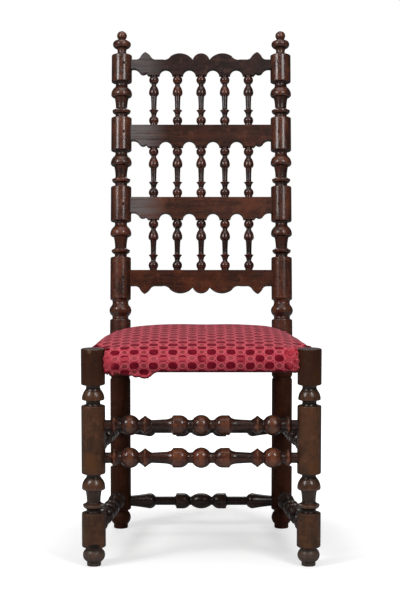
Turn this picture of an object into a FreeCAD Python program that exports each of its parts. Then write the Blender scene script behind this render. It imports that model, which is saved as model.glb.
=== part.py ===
import FreeCAD, Part
import math
import os

Vector = FreeCAD.Vector

# Sizes in millimetres. The chair stands on the floor at height zero and its front faces -Y.
# Left and right are as seen from the front. Across is X, depth is Y and height is Z.

# Frame
front_leg_spacing = 470.0
back_post_spacing = 388.0
leg_depth = 370.0
bend_height = 430.0
back_rake_degrees = 11.5
fit_clearance = 0.15
hole_end_gap = 1.0

# Turned blocks, necks and links of the front legs, from the floor up
leg_diameter = 52.4
leg_foot_height = 41.7
leg_foot_bottom_diameter = 31.0
leg_foot_diameter = 48.6
leg_foot_neck_diameter = 36.0
leg_lower_block_length = 76.6
leg_link_length = 85.3
leg_middle_block_length = 150.3
leg_collar_length = 44.9
leg_top_block_length = 79.2
leg_neck_diameter = 31.0
leg_ring_diameter = 47.0
leg_stem_low_diameter = 30.0
leg_stem_high_diameter = 36.4
leg_dome_diameter = 51.6
leg_bun_diameter = 49.6
leg_top_edge = 3.0

# Turned blocks, necks and links of the back posts, measured along the post
post_diameter = 49.6
post_foot_height = 45.3
post_foot_bottom_diameter = 34.0
post_foot_diameter = 47.8
post_foot_neck_diameter = 36.0
post_lower_block_length = 105.2
post_lower_neck_length = 26.3
post_lower_neck_diameter = 33.0
post_shaft_diameter = 48.6
post_shaft_length = 185.2
post_shoulder_length = 7.0
post_shoulder_diameter = 44.0
post_seat_block_length = 136.3
post_ball_link_length = 47.1
post_ball_diameter = 52.8
post_ball_neck_diameter = 38.0
post_lumbar_block_length = 103.2
post_link_length = 87.2
post_middle_block_length = 86.0
post_upper_block_length = 83.2
post_top_block_length = 69.1
post_neck_diameter = 29.0
post_ring_diameter = 44.2
post_stem_low_diameter = 27.6
post_stem_high_diameter = 34.6
post_dome_diameter = 50.8
finial_neck_diameter = 21.4
finial_neck_length = 16.3
finial_disc_diameter = 44.0
finial_disc_length = 20.5
finial_ball_diameter = 24.4
finial_ball_neck_diameter = 18.0
finial_ball_neck_length = 3.5

# Small edges shared by all turning
block_edge = 3.2
neck_flare = 2.0
dome_lip = 1.2
dome_step = 1.0
foot_toe_edge = 1.5
incised_line_depth = 0.7
incised_line_width = 1.6
incised_line_inset = 6.2

# Turned link: places along the link and roundness, as shares
link_neck_share = 0.105
link_ring_share = 0.185
link_ring_edge_share = 0.02
link_ring_top_share = 0.275
post_ball_neck_share = 0.2
post_ball_upper_neck_share = 0.29
hollow_share = 0.3
stem_hollow_share = 0.28
neck_waist_share = 0.94
half_share = 0.5

# Dome of a link: its underside, its widest place and its top along the link, as shares
leg_dome_shares = (0.59, 0.635, 0.885)
post_dome_shares = (0.578, 0.655, 0.862)

# Turned foot: places up its height, as shares
foot_toe_share = 0.22
foot_neck_share = 0.83

# Collar below the top block of a front leg: places along it, as shares
collar_neck_share = 0.27
collar_top_share = 0.745

# Back rails
back_rail_thickness = 22.0
back_rail_depth = 54.0
lumbar_rail_top = 624.0
lumbar_rail_end_depth = 37.5
back_rail_tenon_thickness = 9.0
back_rail_tenon_shoulder = 4.0
back_rail_tenon_past_axis = 6.0
pad_width = 26.6
arch_height = 15.3
rail_end_rise = 16.0
crest_end_depth = 22.2
scroll_height = 18.8

# Lower edge of a rail beyond its last pad: places along the end and drops, as shares
nick_place_share = 0.13
nick_rise_share = 0.38
lobe_middle_share = 0.33
lobe_end_share = 0.53
lobe_drop_share = 0.2
lobe_end_rise_share = 0.52

# Scrolled edge: places out from the middle and heights, as shares
scroll_lobe_share = 0.121
scroll_hump_share = 0.295
scroll_inflection_share = 0.44
scroll_low_start_share = 0.56
scroll_low_end_share = 0.645
scroll_peak_share = 0.808
scroll_foot_share = 0.94
scroll_inflection_height_share = 0.45
scroll_hollow_share = 0.17
scroll_peak_bulge_share = -0.07
scroll_inner_flank_share = 0.727
scroll_outer_flank_share = 0.874
scroll_flank_height_share = 0.4

# Heights of a scrolled edge's humps and notches, as shares
crest_scroll_shares = (0.82, -0.03)
lumbar_scroll_shares = (0.92, 0.17)

# Spindles, from the rail below to the rail above
spindle_length = 124.0
spindle_spacing = 57.6
spindle_diameter = 23.5
spindle_foot_diameter = 17.6
spindle_neck_diameter = 12.6
spindle_disc_diameter = 23.0
spindle_stem_low_diameter = 12.6
spindle_stem_high_diameter = 15.0
spindle_bell_diameter = 24.4
spindle_collar_diameter = 16.4
spindle_pin_diameter = 10.0
spindle_pin_length = 12.0
spindle_lip = 0.6
spindles_per_tier = 5
tiers = ("lower", "middle", "upper")

# Places up a spindle, as shares of its length
spindle_lower_ball_share = 0.1
spindle_disc_low_share = 0.222
spindle_disc_share = 0.298
spindle_stem_low_share = 0.345
spindle_bell_share = 0.592
spindle_bell_middle_share = 0.648
spindle_bell_top_share = 0.79
spindle_upper_ball_share = 0.912
spindle_disc_hollow_share = 0.12

# Stretchers
stretcher_tenon_diameter = 15.0
stretcher_tenon_depth = 18.0
stretcher_end_diameter = 23.4
front_stretcher_heights = {"lower": 238.4, "upper": 310.0}
rear_stretcher_heights = {"lower": 65.4, "upper": 241.0}
side_stretcher_heights = {"lower": 78.0, "upper": 258.6}
short_tenon_depth = 16.4

# Ringed stretcher: diameters, and places out from its middle as shares of the clear half length
ringed_ball_diameter = 44.9
ringed_neck_diameter = 23.0
ringed_barrel_diameter = 43.4
ringed_barrel_corner = 1.6
ringed_shoulder_diameter = 33.0
ringed_waist_diameter = 26.0
ringed_shaft_diameter = 22.6
ringed_ring_diameter = 41.0
ringed_end_ring_diameter = 37.4
side_stretcher_diameter_share = 0.88
ringed_barrel_start_share = 0.14
ringed_barrel_full_share = 0.224
ringed_barrel_corner_share = 0.298
ringed_shoulder_share = 0.31
ringed_waist_share = 0.372
ringed_shaft_share = 0.517
ringed_ring_share = 0.58
ringed_ring_flat_share = 0.012
ringed_ring_end_share = 0.641
ringed_ball_share = 0.7445
ringed_end_ring_start_share = 0.865
ringed_end_ring_share = 0.902
ringed_end_ring_end_share = 0.945
ringed_neck_edge_share = 1.09
ringed_flank_share = 0.42

# Plain stretcher at the back: diameters, and places out from its middle as shares
plain_ball_diameter = 37.4
plain_neck_diameter = 21.6
plain_barrel_diameter = 37.4
plain_shaft_diameter = 20.8
plain_vase_diameter = 37.0
plain_end_diameter = 25.0
plain_ball_share = 0.136
plain_barrel_start_share = 0.165
plain_barrel_full_share = 0.26
plain_barrel_corner_share = 0.352
plain_shoulder_share = 0.375
plain_shaft_share = 0.65
plain_vase_share = 0.735
plain_vase_hollow_share = 0.4

# Seat rails
seat_rail_top = 469.0
seat_rail_height = 40.0
seat_rail_thickness = 22.0
seat_tenon_shoulder = 5.0
seat_tenon_thickness = 8.0
seat_tenon_past_axis = 6.0
side_tenon_clear_of_axis = 8.0

# Pegs of the mortise-and-tenon joints
peg_diameter = 6.0
peg_inset = 6.0
peg_proud = 0.3
peg_past_tenon = 1.2
side_peg_inset = 13.0
peg_slant = 1.6

# Webbing, base cloth, stuffing and cover of the seat
webbing_width = 50.0
webbing_thickness = 1.5
webbing_slope = 9.0
webbing_inset = 3.0
long_webbing_spacing = 84.0
cross_webbing_spacing = 92.0
long_webbing_count = 4
cross_webbing_count = 3
base_cloth_thickness = 1.0
base_cloth_inset = 2.0
seat_rim_rise = 12.5
seat_crown_rise = 28.0
seat_edge_radius = 15.0
seat_end_radius = 14.0
cover_thickness = 1.8
cover_lip_width = 13.0
cover_gap = 0.3
leg_notch_gap = 0.4
cover_bulge_share = 0.012

# Crown of the seat from front to back: places and rises, as shares
crown_place_shares = (0.0, 0.25, 0.5, 0.75, 1.0)
crown_rise_shares = (0.1, 0.78, 1.0, 0.8, 0.2)

# Rounded front and rear edge of the crown: places in from the face, as shares of its radius
crown_end_shares = (0.0, 0.08, 0.3, 0.62, 1.0)

# Tacks
tack_head_diameter = 7.0
tack_head_height = 0.8
tack_shank_diameter = 2.0
tack_shank_length = 9.0
tack_hole_gap = 0.1
cover_tack_spacing = 42.0
webbing_tack_spacing = 18.0
webbing_tacks_per_end = 3

# Worked out from the sizes above
rake = math.radians(back_rake_degrees)
leg_radius = leg_diameter * half_share
post_radius = post_diameter * half_share
shaft_radius = post_shaft_diameter * half_share
front_half = front_leg_spacing * half_share
back_half = back_post_spacing * half_share
leg_top = (leg_foot_height + leg_lower_block_length + leg_link_length + leg_middle_block_length
           + leg_collar_length + leg_top_block_length)
seat_rail_bottom = seat_rail_top - seat_rail_height
seat_rail_middle = seat_rail_top - seat_rail_height * half_share
back_offset = (seat_rail_middle - bend_height) * math.tan(rake)
side_slope = (front_half - back_half) / leg_depth
tier_pitch = spindle_length + back_rail_depth
crest_pad_bottom = lumbar_rail_top + tier_pitch * (len(tiers) - 1) + spindle_length
clear_half = back_half - post_radius
last_pad_edge = spindle_spacing * (spindles_per_tier - 1) * half_share + pad_width * half_share
side_angle = math.atan2(front_half - back_half, leg_depth)
side_length = math.hypot(front_half - back_half, leg_depth)
axis_up = Vector(0, 0, 1)
axis_across = Vector(1, 0, 0)
axis_back = Vector(0, 1, 0)
sides = {"left": -1, "right": 1}
full_turn = 360
quarter_turn = 90


class Turning:
    """A lathe outline: radius against place along the axis, grown stretch by stretch."""

    def __init__(self, radius, start=0):
        self.radius = radius
        self.place = start
        self.first = (radius, start)
        self.stretches = []

    def go(self, length, radius, middle=None):
        """Adds a straight stretch, or an arc through the middle radius and place given."""
        end = (radius, self.place + length)
        if length == 0 and math.isclose(radius, self.radius):
            return
        if middle is None:
            self.stretches.append(((self.radius, self.place), end))
        else:
            self.stretches.append(((self.radius, self.place), middle, end))
        self.radius, self.place = end

    def swell(self, length, radius, middle_radius):
        """Adds an arc whose middle lies halfway along, at the middle radius."""
        self.go(length, radius, (middle_radius, self.place + length * half_share))

    def hollow(self, length, radius, share=hollow_share):
        """Adds a hollow between two radii: at halfway it stands this share above the smaller."""
        low = min(self.radius, radius)
        high = max(self.radius, radius)
        self.swell(length, radius, low + (high - low) * share)

    def neck(self, length, neck_radius):
        """Adds a neck that flares a little at both ends."""
        self.go(0, neck_radius + neck_flare)
        self.swell(length, neck_radius + neck_flare, neck_radius)

    def round_up(self, length, radius):
        """Adds an arc that ends upright, as the lower half of a rounded edge does."""
        step = radius - self.radius
        centre = radius - (step * step + length * length) / (step + step)
        middle = centre + math.sqrt((radius - centre) ** 2 - (length * half_share) ** 2)
        self.go(length, radius, (middle, self.place + length * half_share))

    def round_down(self, length, radius):
        """Adds an arc that starts upright, as the upper half of a rounded edge does."""
        step = self.radius - radius
        centre = self.radius - (step * step + length * length) / (step + step)
        middle = centre + math.sqrt((self.radius - centre) ** 2 - (length * half_share) ** 2)
        self.go(length, radius, (middle, self.place + length * half_share))

    def ball(self, ball_radius, end_radius):
        """Adds a round ball centred on the axis, from the present radius to the end radius."""
        centre = self.place + math.sqrt(max(ball_radius ** 2 - self.radius ** 2, 0))
        end = centre + math.sqrt(ball_radius ** 2 - end_radius ** 2)
        self.go(end - self.place, end_radius, (ball_radius, centre))

    def block(self, length, radius, lines=False):
        """Adds a plain round block with softened ends and, where asked, a line cut near each end."""
        self.go(0, radius - block_edge)
        self.round_up(block_edge, radius)
        if lines:
            self.go(incised_line_inset - block_edge, radius)
            self.cut_line(radius)
            self.go(length - (incised_line_inset + incised_line_width) * len(sides), radius)
            self.cut_line(radius)
            self.go(incised_line_inset - block_edge, radius)
        else:
            self.go(length - block_edge - block_edge, radius)
        self.round_down(block_edge, radius - block_edge)

    def cut_line(self, radius):
        """Adds a narrow V-shaped groove."""
        self.go(incised_line_width * half_share, radius - incised_line_depth)
        self.go(incised_line_width * half_share, radius)

    def edges(self, mirrored=False):
        """Gives the outline's edges, with those of the other half where it is mirrored."""
        found = []
        for sign in (1, -1) if mirrored else (1,):
            for points in self.stretches:
                spots = [Vector(radius, 0, place * sign) for radius, place in points]
                if len(spots) == len(sides):
                    found.append(Part.LineSegment(*spots).toShape())
                else:
                    found.append(Part.Arc(*spots).toShape())
        return found

    def solid(self, mirrored=False):
        """Turns the outline round the Z axis."""
        start = -self.place if mirrored else self.first[1]
        start_radius = self.radius if mirrored else self.first[0]
        found = self.edges(mirrored)
        low = Vector(0, 0, start)
        high = Vector(0, 0, self.place)
        found.append(Part.LineSegment(low, high).toShape())
        if start_radius > 0:
            found.append(Part.LineSegment(low, Vector(start_radius, 0, start)).toShape())
        if self.radius > 0:
            found.append(Part.LineSegment(Vector(self.radius, 0, self.place), high).toShape())
        wire = Part.Wire(Part.__sortEdges__(found))
        return Part.Face(wire).revolve(Vector(0, 0, 0), axis_up, full_turn)


def add_link(outline, length, neck, ring, stem_low, stem_high, dome, dome_shares):
    """Adds the link between two blocks: neck, ring, hollow stem, dome with a rounded edge, neck."""
    start = outline.place
    under, widest, top = dome_shares
    outline.neck(length * link_neck_share, neck)
    outline.round_up(start + length * link_ring_share - outline.place, ring)
    outline.go(length * link_ring_edge_share, ring)
    outline.hollow(start + length * link_ring_top_share - outline.place, stem_low)
    outline.hollow(start + length * under - outline.place, stem_high, stem_hollow_share)
    outline.go(0, stem_high + dome_step)
    outline.round_up(start + length * widest - outline.place, dome)
    outline.round_down(start + length * top - outline.place, neck + neck_flare)
    outline.neck(start + length - outline.place, neck)


def add_foot(outline, height, widest, neck):
    """Adds a turned foot from the floor: a narrow toe with a worn edge, a bun and a neck."""
    toe = outline.radius
    outline.round_up(foot_toe_edge, toe + foot_toe_edge)
    outline.go(height * foot_toe_share - outline.place, toe + foot_toe_edge)
    outline.swell(height * foot_neck_share - outline.place, neck + neck_flare, widest)
    outline.neck(height - outline.place, neck)


def front_leg():
    """One front leg, turned in one piece from foot to flat top."""
    outline = Turning(leg_foot_bottom_diameter * half_share - foot_toe_edge)
    neck = leg_neck_diameter * half_share
    add_foot(outline, leg_foot_height, leg_foot_diameter * half_share,
             leg_foot_neck_diameter * half_share)
    outline.block(leg_lower_block_length, leg_radius)
    add_link(outline, leg_link_length, neck, leg_ring_diameter * half_share,
             leg_stem_low_diameter * half_share, leg_stem_high_diameter * half_share,
             leg_dome_diameter * half_share, leg_dome_shares)
    outline.block(leg_middle_block_length, leg_radius)
    start = outline.place
    outline.neck(leg_collar_length * collar_neck_share, neck)
    outline.go(0, leg_bun_diameter * half_share - dome_lip)
    outline.go(dome_lip, leg_bun_diameter * half_share)
    outline.round_down(start + leg_collar_length * collar_top_share - outline.place, neck + neck_flare)
    outline.neck(start + leg_collar_length - outline.place, neck)
    outline.go(0, leg_radius - block_edge)
    outline.round_up(block_edge, leg_radius)
    outline.go(leg_top_block_length - block_edge - leg_top_edge, leg_radius)
    outline.round_down(leg_top_edge, leg_radius - leg_top_edge)
    return outline.solid()


def lower_post():
    """The upright part of a back post, from its foot to just above the bend."""
    outline = Turning(post_foot_bottom_diameter * half_share - foot_toe_edge)
    add_foot(outline, post_foot_height, post_foot_diameter * half_share,
             post_foot_neck_diameter * half_share)
    outline.block(post_lower_block_length, post_radius)
    outline.neck(post_lower_neck_length, post_lower_neck_diameter * half_share)
    outline.block(post_shaft_length, shaft_radius)
    outline.neck(post_shoulder_length, post_shoulder_diameter * half_share)
    outline.go(0, post_radius - block_edge)
    outline.round_up(block_edge, post_radius)
    outline.go(bend_height + post_radius - outline.place, post_radius)
    return outline.solid()


def upper_post():
    """The raked part of a back post, drawn upright, from just below the bend to its finial."""
    outline = Turning(post_radius, bend_height - post_radius)
    seat_block_start = (post_foot_height + post_lower_block_length + post_lower_neck_length
                        + post_shaft_length + post_shoulder_length)
    seat_block_end = seat_block_start + post_seat_block_length
    outline.go(seat_block_end - block_edge - outline.place, post_radius)
    outline.round_down(block_edge, post_radius - block_edge)
    ball_neck = post_ball_neck_diameter * half_share
    neck_lengths = [post_ball_link_length * share
                    for share in (post_ball_neck_share, post_ball_upper_neck_share)]
    outline.neck(neck_lengths[0], ball_neck)
    outline.swell(post_ball_link_length - sum(neck_lengths), ball_neck + neck_flare,
                  post_ball_diameter * half_share)
    outline.neck(neck_lengths[1], ball_neck)
    outline.block(post_lumbar_block_length, post_radius, True)
    for length in (post_middle_block_length, post_upper_block_length, post_top_block_length):
        add_link(outline, post_link_length, post_neck_diameter * half_share,
                 post_ring_diameter * half_share, post_stem_low_diameter * half_share,
                 post_stem_high_diameter * half_share, post_dome_diameter * half_share,
                 post_dome_shares)
        outline.block(length, post_radius)
    add_finial(outline)
    return outline.solid()


def add_finial(outline):
    """Adds the neck, the flattened disc and the ball that top a back post."""
    neck = finial_neck_diameter * half_share
    ball_neck = finial_ball_neck_diameter * half_share
    outline.neck(finial_neck_length, neck)
    outline.swell(finial_disc_length, ball_neck, finial_disc_diameter * half_share)
    outline.swell(finial_ball_neck_length, ball_neck, ball_neck * neck_waist_share)
    outline.ball(finial_ball_diameter * half_share, 0)


def tilt(shape):
    """Leans an upright shape back about the bend, as the upper post leans."""
    shape.rotate(Vector(0, 0, bend_height), axis_across, -back_rake_degrees)
    return shape


def half_space(above):
    """A large block above or below the plane that halves the bend."""
    size = leg_depth * len(tiers)
    low = bend_height if above else bend_height - size
    block = Part.makeBox(size, size, size, Vector(-size * half_share, -size * half_share, low))
    block.rotate(Vector(0, 0, bend_height), axis_across, -back_rake_degrees * half_share)
    return block


def back_post():
    """One back post on its own axis: the two turned lengths meet in a mitre inside the seat block."""
    lower = lower_post().common(half_space(False))
    upper = tilt(upper_post()).common(half_space(True))
    return lower.fuse(upper).removeSplitter()


def post_envelope(gap):
    """Round blank of a back post, with a gap all round, for shoulders scribed to it."""
    radius = post_radius + gap
    top = crest_pad_bottom + tier_pitch
    lower = Part.makeCylinder(radius, bend_height + radius, Vector(0, 0, 0), axis_up)
    start = Vector(0, 0, bend_height - radius)
    upper = Part.makeCylinder(radius, top - bend_height + radius, start, axis_up)
    return lower.common(half_space(False)).fuse(tilt(upper).common(half_space(True)))


def spindle():
    """One turned spindle with its pins, standing on height zero."""
    outline = Turning(spindle_pin_diameter * half_share, -spindle_pin_length)
    ball = spindle_diameter * half_share
    neck = spindle_neck_diameter * half_share
    foot = spindle_foot_diameter * half_share
    outline.go(spindle_pin_length, outline.radius)
    outline.go(0, foot)
    ball_start = spindle_length * spindle_lower_ball_share - math.sqrt(ball ** 2 - foot ** 2)
    outline.go(ball_start, foot)
    outline.ball(ball, neck)
    outline.swell(spindle_length * spindle_disc_low_share - outline.place, neck, neck * neck_waist_share)
    disc = spindle_disc_diameter * half_share
    outline.hollow(spindle_length * spindle_disc_share - outline.place, disc)
    outline.go(spindle_lip, disc)
    outline.hollow(spindle_length * spindle_stem_low_share - outline.place,
                   spindle_stem_low_diameter * half_share, spindle_disc_hollow_share)
    outline.hollow(spindle_length * spindle_bell_share - outline.place,
                   spindle_stem_high_diameter * half_share, stem_hollow_share)
    bell = spindle_bell_diameter * half_share
    outline.go(0, outline.radius + spindle_lip)
    outline.round_up(spindle_length * spindle_bell_middle_share - outline.place, bell)
    outline.round_down(spindle_length * spindle_bell_top_share - outline.place, neck)
    ball_place = spindle_length * spindle_upper_ball_share
    neck_length = ball_place - math.sqrt(ball ** 2 - neck ** 2) - outline.place
    outline.swell(neck_length, neck, neck * neck_waist_share)
    collar = spindle_collar_diameter * half_share
    outline.ball(ball, collar)
    outline.go(spindle_length - outline.place, collar)
    outline.go(0, spindle_pin_diameter * half_share)
    outline.go(spindle_pin_length, outline.radius)
    return outline.solid()


def ringed_stretcher(clear_half_length, end_half_length, size):
    """A stretcher with a middle ball, barrels, rings and outer balls, along Z about its middle."""
    def radius(diameter):
        return diameter * half_share * size

    def to(share):
        return clear_half_length * share - outline.place

    ball = radius(ringed_ball_diameter)
    neck = radius(ringed_neck_diameter)
    outline = Turning(ball)
    edge = neck * ringed_neck_edge_share
    reach = math.sqrt(ball ** 2 - edge ** 2)
    slant = math.sqrt(half_share)
    outline.go(reach, edge, (math.sqrt(ball ** 2 - (reach * slant) ** 2), reach * slant))
    outline.swell(to(ringed_barrel_start_share), edge, neck)
    outline.round_up(to(ringed_barrel_full_share), radius(ringed_barrel_diameter))
    outline.go(to(ringed_barrel_corner_share) - ringed_barrel_corner, outline.radius)
    outline.go(ringed_barrel_corner, outline.radius - ringed_barrel_corner)
    outline.go(to(ringed_shoulder_share), radius(ringed_shoulder_diameter))
    outline.hollow(to(ringed_waist_share), radius(ringed_waist_diameter))
    outline.go(to(ringed_shaft_share), radius(ringed_shaft_diameter))
    outline.hollow(to(ringed_ring_share), radius(ringed_ring_diameter), ringed_flank_share)
    outline.go(clear_half_length * ringed_ring_flat_share, outline.radius)
    outline.hollow(to(ringed_ring_end_share), edge, ringed_flank_share)
    ball_place = clear_half_length * ringed_ball_share
    outline.swell(ball_place - reach - outline.place, edge, neck)
    outline.ball(ball, edge)
    outline.swell(to(ringed_end_ring_start_share), edge, neck)
    outline.hollow(to(ringed_end_ring_share), radius(ringed_end_ring_diameter), ringed_flank_share)
    outline.go(clear_half_length * ringed_ring_flat_share, outline.radius)
    outline.hollow(to(ringed_end_ring_end_share), radius(stretcher_end_diameter), ringed_flank_share)
    outline.go(end_half_length - outline.place, outline.radius)
    return outline.solid(True)


def plain_stretcher(clear_half_length, end_half_length):
    """A slimmer stretcher with a middle bulge, barrels and a vase at each end, along Z."""
    def to(share):
        return clear_half_length * share - outline.place

    ball = plain_ball_diameter * half_share
    neck = plain_neck_diameter * half_share
    reach = clear_half_length * plain_ball_share
    outline = Turning(ball)
    outline.round_down(reach, neck)
    outline.swell(to(plain_barrel_start_share), neck, neck * neck_waist_share)
    outline.round_up(to(plain_barrel_full_share), plain_barrel_diameter * half_share)
    outline.go(to(plain_barrel_corner_share), outline.radius)
    outline.hollow(to(plain_shoulder_share), plain_shaft_diameter * half_share)
    outline.go(to(plain_shaft_share), outline.radius)
    outline.round_up(to(plain_vase_share), plain_vase_diameter * half_share)
    outline.hollow(clear_half_length - outline.place, plain_end_diameter * half_share,
                   plain_vase_hollow_share)
    outline.go(end_half_length - outline.place, outline.radius)
    return outline.solid(True)


def along(shape, first, direction):
    """Turns a shape from the Z axis to a direction and moves it to a place."""
    turn = FreeCAD.Rotation(axis_up, direction)
    shape.Placement = FreeCAD.Placement(first, turn).multiply(shape.Placement)
    return shape


def fit_stretcher(turned, middle, direction, half, radii, depth):
    """Places a turned stretcher, scribes its ends to the round legs and adds its round tenons."""
    shape = along(turned, middle, direction)
    unit = Vector(direction).normalize()
    tall = leg_depth
    for radius, sign in zip(radii, (-1, 1)):
        foot = middle + unit * half * sign - axis_up * tall * half_share
        shape = shape.cut(Part.makeCylinder(radius + fit_clearance, tall, foot, axis_up))
    reaches = [half - radius + depth for radius in radii]
    start = middle - unit * reaches[0]
    tenon = Part.makeCylinder(stretcher_tenon_diameter * half_share, sum(reaches), start, unit)
    return shape.fuse(tenon).removeSplitter()


def tenon_holes(middle, direction, half, radii, depth):
    """Holes for both tenons of a stretcher, in place."""
    unit = Vector(direction).normalize()
    hole_radius = stretcher_tenon_diameter * half_share + fit_clearance
    found = []
    for radius, sign in zip(radii, (-1, 1)):
        inner = middle + unit * (half - radius - radius) * sign
        found.append(Part.makeCylinder(hole_radius, radius + depth + hole_end_gap, inner, unit * sign))
    return found


def extrude(edges, thickness):
    """Makes a board from an outline in the XZ plane, centred on the plane of Y zero."""
    face = Part.Face(Part.Wire(Part.__sortEdges__(edges)))
    face.translate(Vector(0, -thickness * half_share, 0))
    return face.extrude(Vector(0, thickness, 0))


def spot(across, height):
    return Vector(across, 0, height)


def line(first, last):
    return Part.LineSegment(first, last).toShape()


def arc(first, middle, last):
    return Part.Arc(first, middle, last).toShape()


def sagged(first, last, share):
    """An arc between two points whose middle is dropped by this share of the distance."""
    way = last - first
    normal = Vector(way.z, 0, -way.x)
    return arc(first, first + way * half_share + normal * share, last)


def padded_edge(pad_bottom):
    """A rail's lower edge from end to end: pads under the spindles, arches between, shaped ends."""
    edges = []
    half_pad = pad_width * half_share
    centres = [spindle_spacing * (index - (spindles_per_tier - 1) * half_share)
               for index in range(spindles_per_tier)]
    for centre in centres:
        edges.append(line(spot(centre - half_pad, pad_bottom), spot(centre + half_pad, pad_bottom)))
    for left, right in zip(centres, centres[1:]):
        middle = spot((left + right) * half_share, pad_bottom + arch_height)
        edges.append(arc(spot(left + half_pad, pad_bottom), middle, spot(right - half_pad, pad_bottom)))
    reach = clear_half - last_pad_edge
    end_height = pad_bottom + rail_end_rise
    for sign in sides.values():
        corner = spot(sign * last_pad_edge, pad_bottom)
        nick = spot(sign * (last_pad_edge + reach * nick_place_share),
                    pad_bottom + rail_end_rise * nick_rise_share)
        lobe = spot(sign * (last_pad_edge + reach * lobe_middle_share),
                    pad_bottom + rail_end_rise * lobe_drop_share)
        lobe_end = spot(sign * (last_pad_edge + reach * lobe_end_share),
                        pad_bottom + rail_end_rise * lobe_end_rise_share)
        end = spot(sign * clear_half, end_height)
        edges.append(line(corner, nick))
        edges.append(arc(nick, lobe, lobe_end))
        edges.append(sagged(lobe_end, end, -scroll_hollow_share * sign))
        edges.append(line(end, spot(sign * back_half, end_height)))
    return edges


def scrolled_edge(base, rise, scroll_shares):
    """A rail's scrolled edge, up or down: middle lobe, two broad humps and two sharp peaks."""
    hump_height, notch_height = scroll_shares
    edges = []
    way = math.copysign(1, rise)

    def place(sign, share, height_share):
        return spot(sign * clear_half * share, base + rise * height_share)

    lobe_top = spot(0, base + rise * hump_height)
    for sign in sides.values():
        notch = place(sign, scroll_lobe_share, notch_height)
        hump = place(sign, scroll_hump_share, hump_height)
        inflection = place(sign, scroll_inflection_share, scroll_inflection_height_share)
        low_start = place(sign, scroll_low_start_share, 0)
        low_end = place(sign, scroll_low_end_share, 0)
        peak = place(sign, scroll_peak_share, 1)
        foot = place(sign, scroll_foot_share, 0)
        inner = place(sign, scroll_inner_flank_share, scroll_flank_height_share)
        outer = place(sign, scroll_outer_flank_share, scroll_flank_height_share)
        edges.append(arc(notch, hump, inflection))
        edges.append(sagged(inflection, low_start, scroll_hollow_share * sign * way))
        edges.append(line(low_start, low_end))
        edges.append(sagged(low_end, inner, scroll_hollow_share * sign * way))
        edges.append(sagged(inner, peak, scroll_peak_bulge_share * sign * way))
        edges.append(sagged(peak, outer, scroll_peak_bulge_share * sign * way))
        edges.append(sagged(outer, foot, scroll_hollow_share * sign * way))
        edges.append(line(foot, spot(sign * back_half, base)))
    notches = [place(sign, scroll_lobe_share, notch_height) for sign in sides.values()]
    edges.append(arc(notches[0], lobe_top, notches[1]))
    return edges


def end_lines(low, high):
    """The two upright end lines that close a rail's outline at the posts' axes."""
    return [line(spot(sign * back_half, low), spot(sign * back_half, high)) for sign in sides.values()]


def back_rail_outlines():
    """Names each back rail with its outline and the lower and upper heights of its ends."""
    outlines = {}
    crest_end = crest_pad_bottom + rail_end_rise
    crest_base = crest_end + crest_end_depth
    crest_top = scrolled_edge(crest_base, scroll_height, crest_scroll_shares)
    outlines["crest_rail"] = (padded_edge(crest_pad_bottom) + crest_top
                              + end_lines(crest_end, crest_base), crest_end, crest_base)
    for name, steps in (("middle_back_rail", 1), ("upper_back_rail", 1 + 1)):
        top = lumbar_rail_top + tier_pitch * steps
        pad_bottom = top - back_rail_depth
        low = pad_bottom + rail_end_rise
        top_line = [line(spot(-back_half, top), spot(back_half, top))]
        outlines[name] = (padded_edge(pad_bottom) + top_line + end_lines(low, top), low, top)
    base = lumbar_rail_top - lumbar_rail_end_depth
    top_line = [line(spot(-back_half, lumbar_rail_top), spot(back_half, lumbar_rail_top))]
    outlines["bottom_back_rail"] = (scrolled_edge(base, -scroll_height, lumbar_scroll_shares) + top_line
                                    + end_lines(base, lumbar_rail_top), base, lumbar_rail_top)
    return outlines


def tenon_block(low, high, gap):
    """Both tenons of a back rail as one bar through the posts, with a gap all round for the mortise."""
    reach = back_half + back_rail_tenon_past_axis
    if gap:
        reach = reach + hole_end_gap
    bottom = low + back_rail_tenon_shoulder - gap
    height = high - low - back_rail_tenon_shoulder - back_rail_tenon_shoulder + gap + gap
    thickness = back_rail_tenon_thickness + gap + gap
    return Part.makeBox(reach + reach, thickness, height, Vector(-reach, -thickness * half_share, bottom))


def back_peg_places(low, high):
    """Where the pegs of a back rail's tenons are driven: across and height."""
    return [(sign * (back_half - peg_inset), (low + high) * half_share) for sign in sides.values()]


def back_peg(across, height, gap):
    """A peg driven from the front of the raked post, drawn upright."""
    radius = peg_diameter * half_share + gap
    front = math.sqrt(post_radius ** 2 - peg_inset ** 2) + peg_proud
    far = back_rail_tenon_thickness * half_share + peg_past_tenon + gap
    return Part.makeCylinder(radius, front + far, Vector(across, -front, height), axis_back)


def spindle_centres():
    """Places of the spindles across a tier."""
    middle = (spindles_per_tier - 1) * half_share
    return [spindle_spacing * (index - middle) for index in range(spindles_per_tier)]


def pin_holes():
    """Every hole for a spindle's pin, drawn upright."""
    holes = []
    radius = spindle_pin_diameter * half_share + fit_clearance
    for tier in range(len(tiers)):
        bottom = lumbar_rail_top + tier_pitch * tier - spindle_pin_length - hole_end_gap
        height = spindle_length + (spindle_pin_length + hole_end_gap) * len(sides)
        for centre in spindle_centres():
            holes.append(Part.makeCylinder(radius, height, Vector(centre, 0, bottom), axis_up))
    return Part.makeCompound(holes)


def place_back(shape):
    """Leans a piece of the back and moves it to the line of the back posts."""
    tilt(shape)
    shape.translate(Vector(0, leg_depth, 0))
    return shape


def to_leg(shape, side, front):
    """Moves a shape from the origin to the axis of a front leg or a back post."""
    half = front_half if front else back_half
    shape.translate(Vector(sides[side] * half, 0 if front else leg_depth, 0))
    return shape


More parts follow.
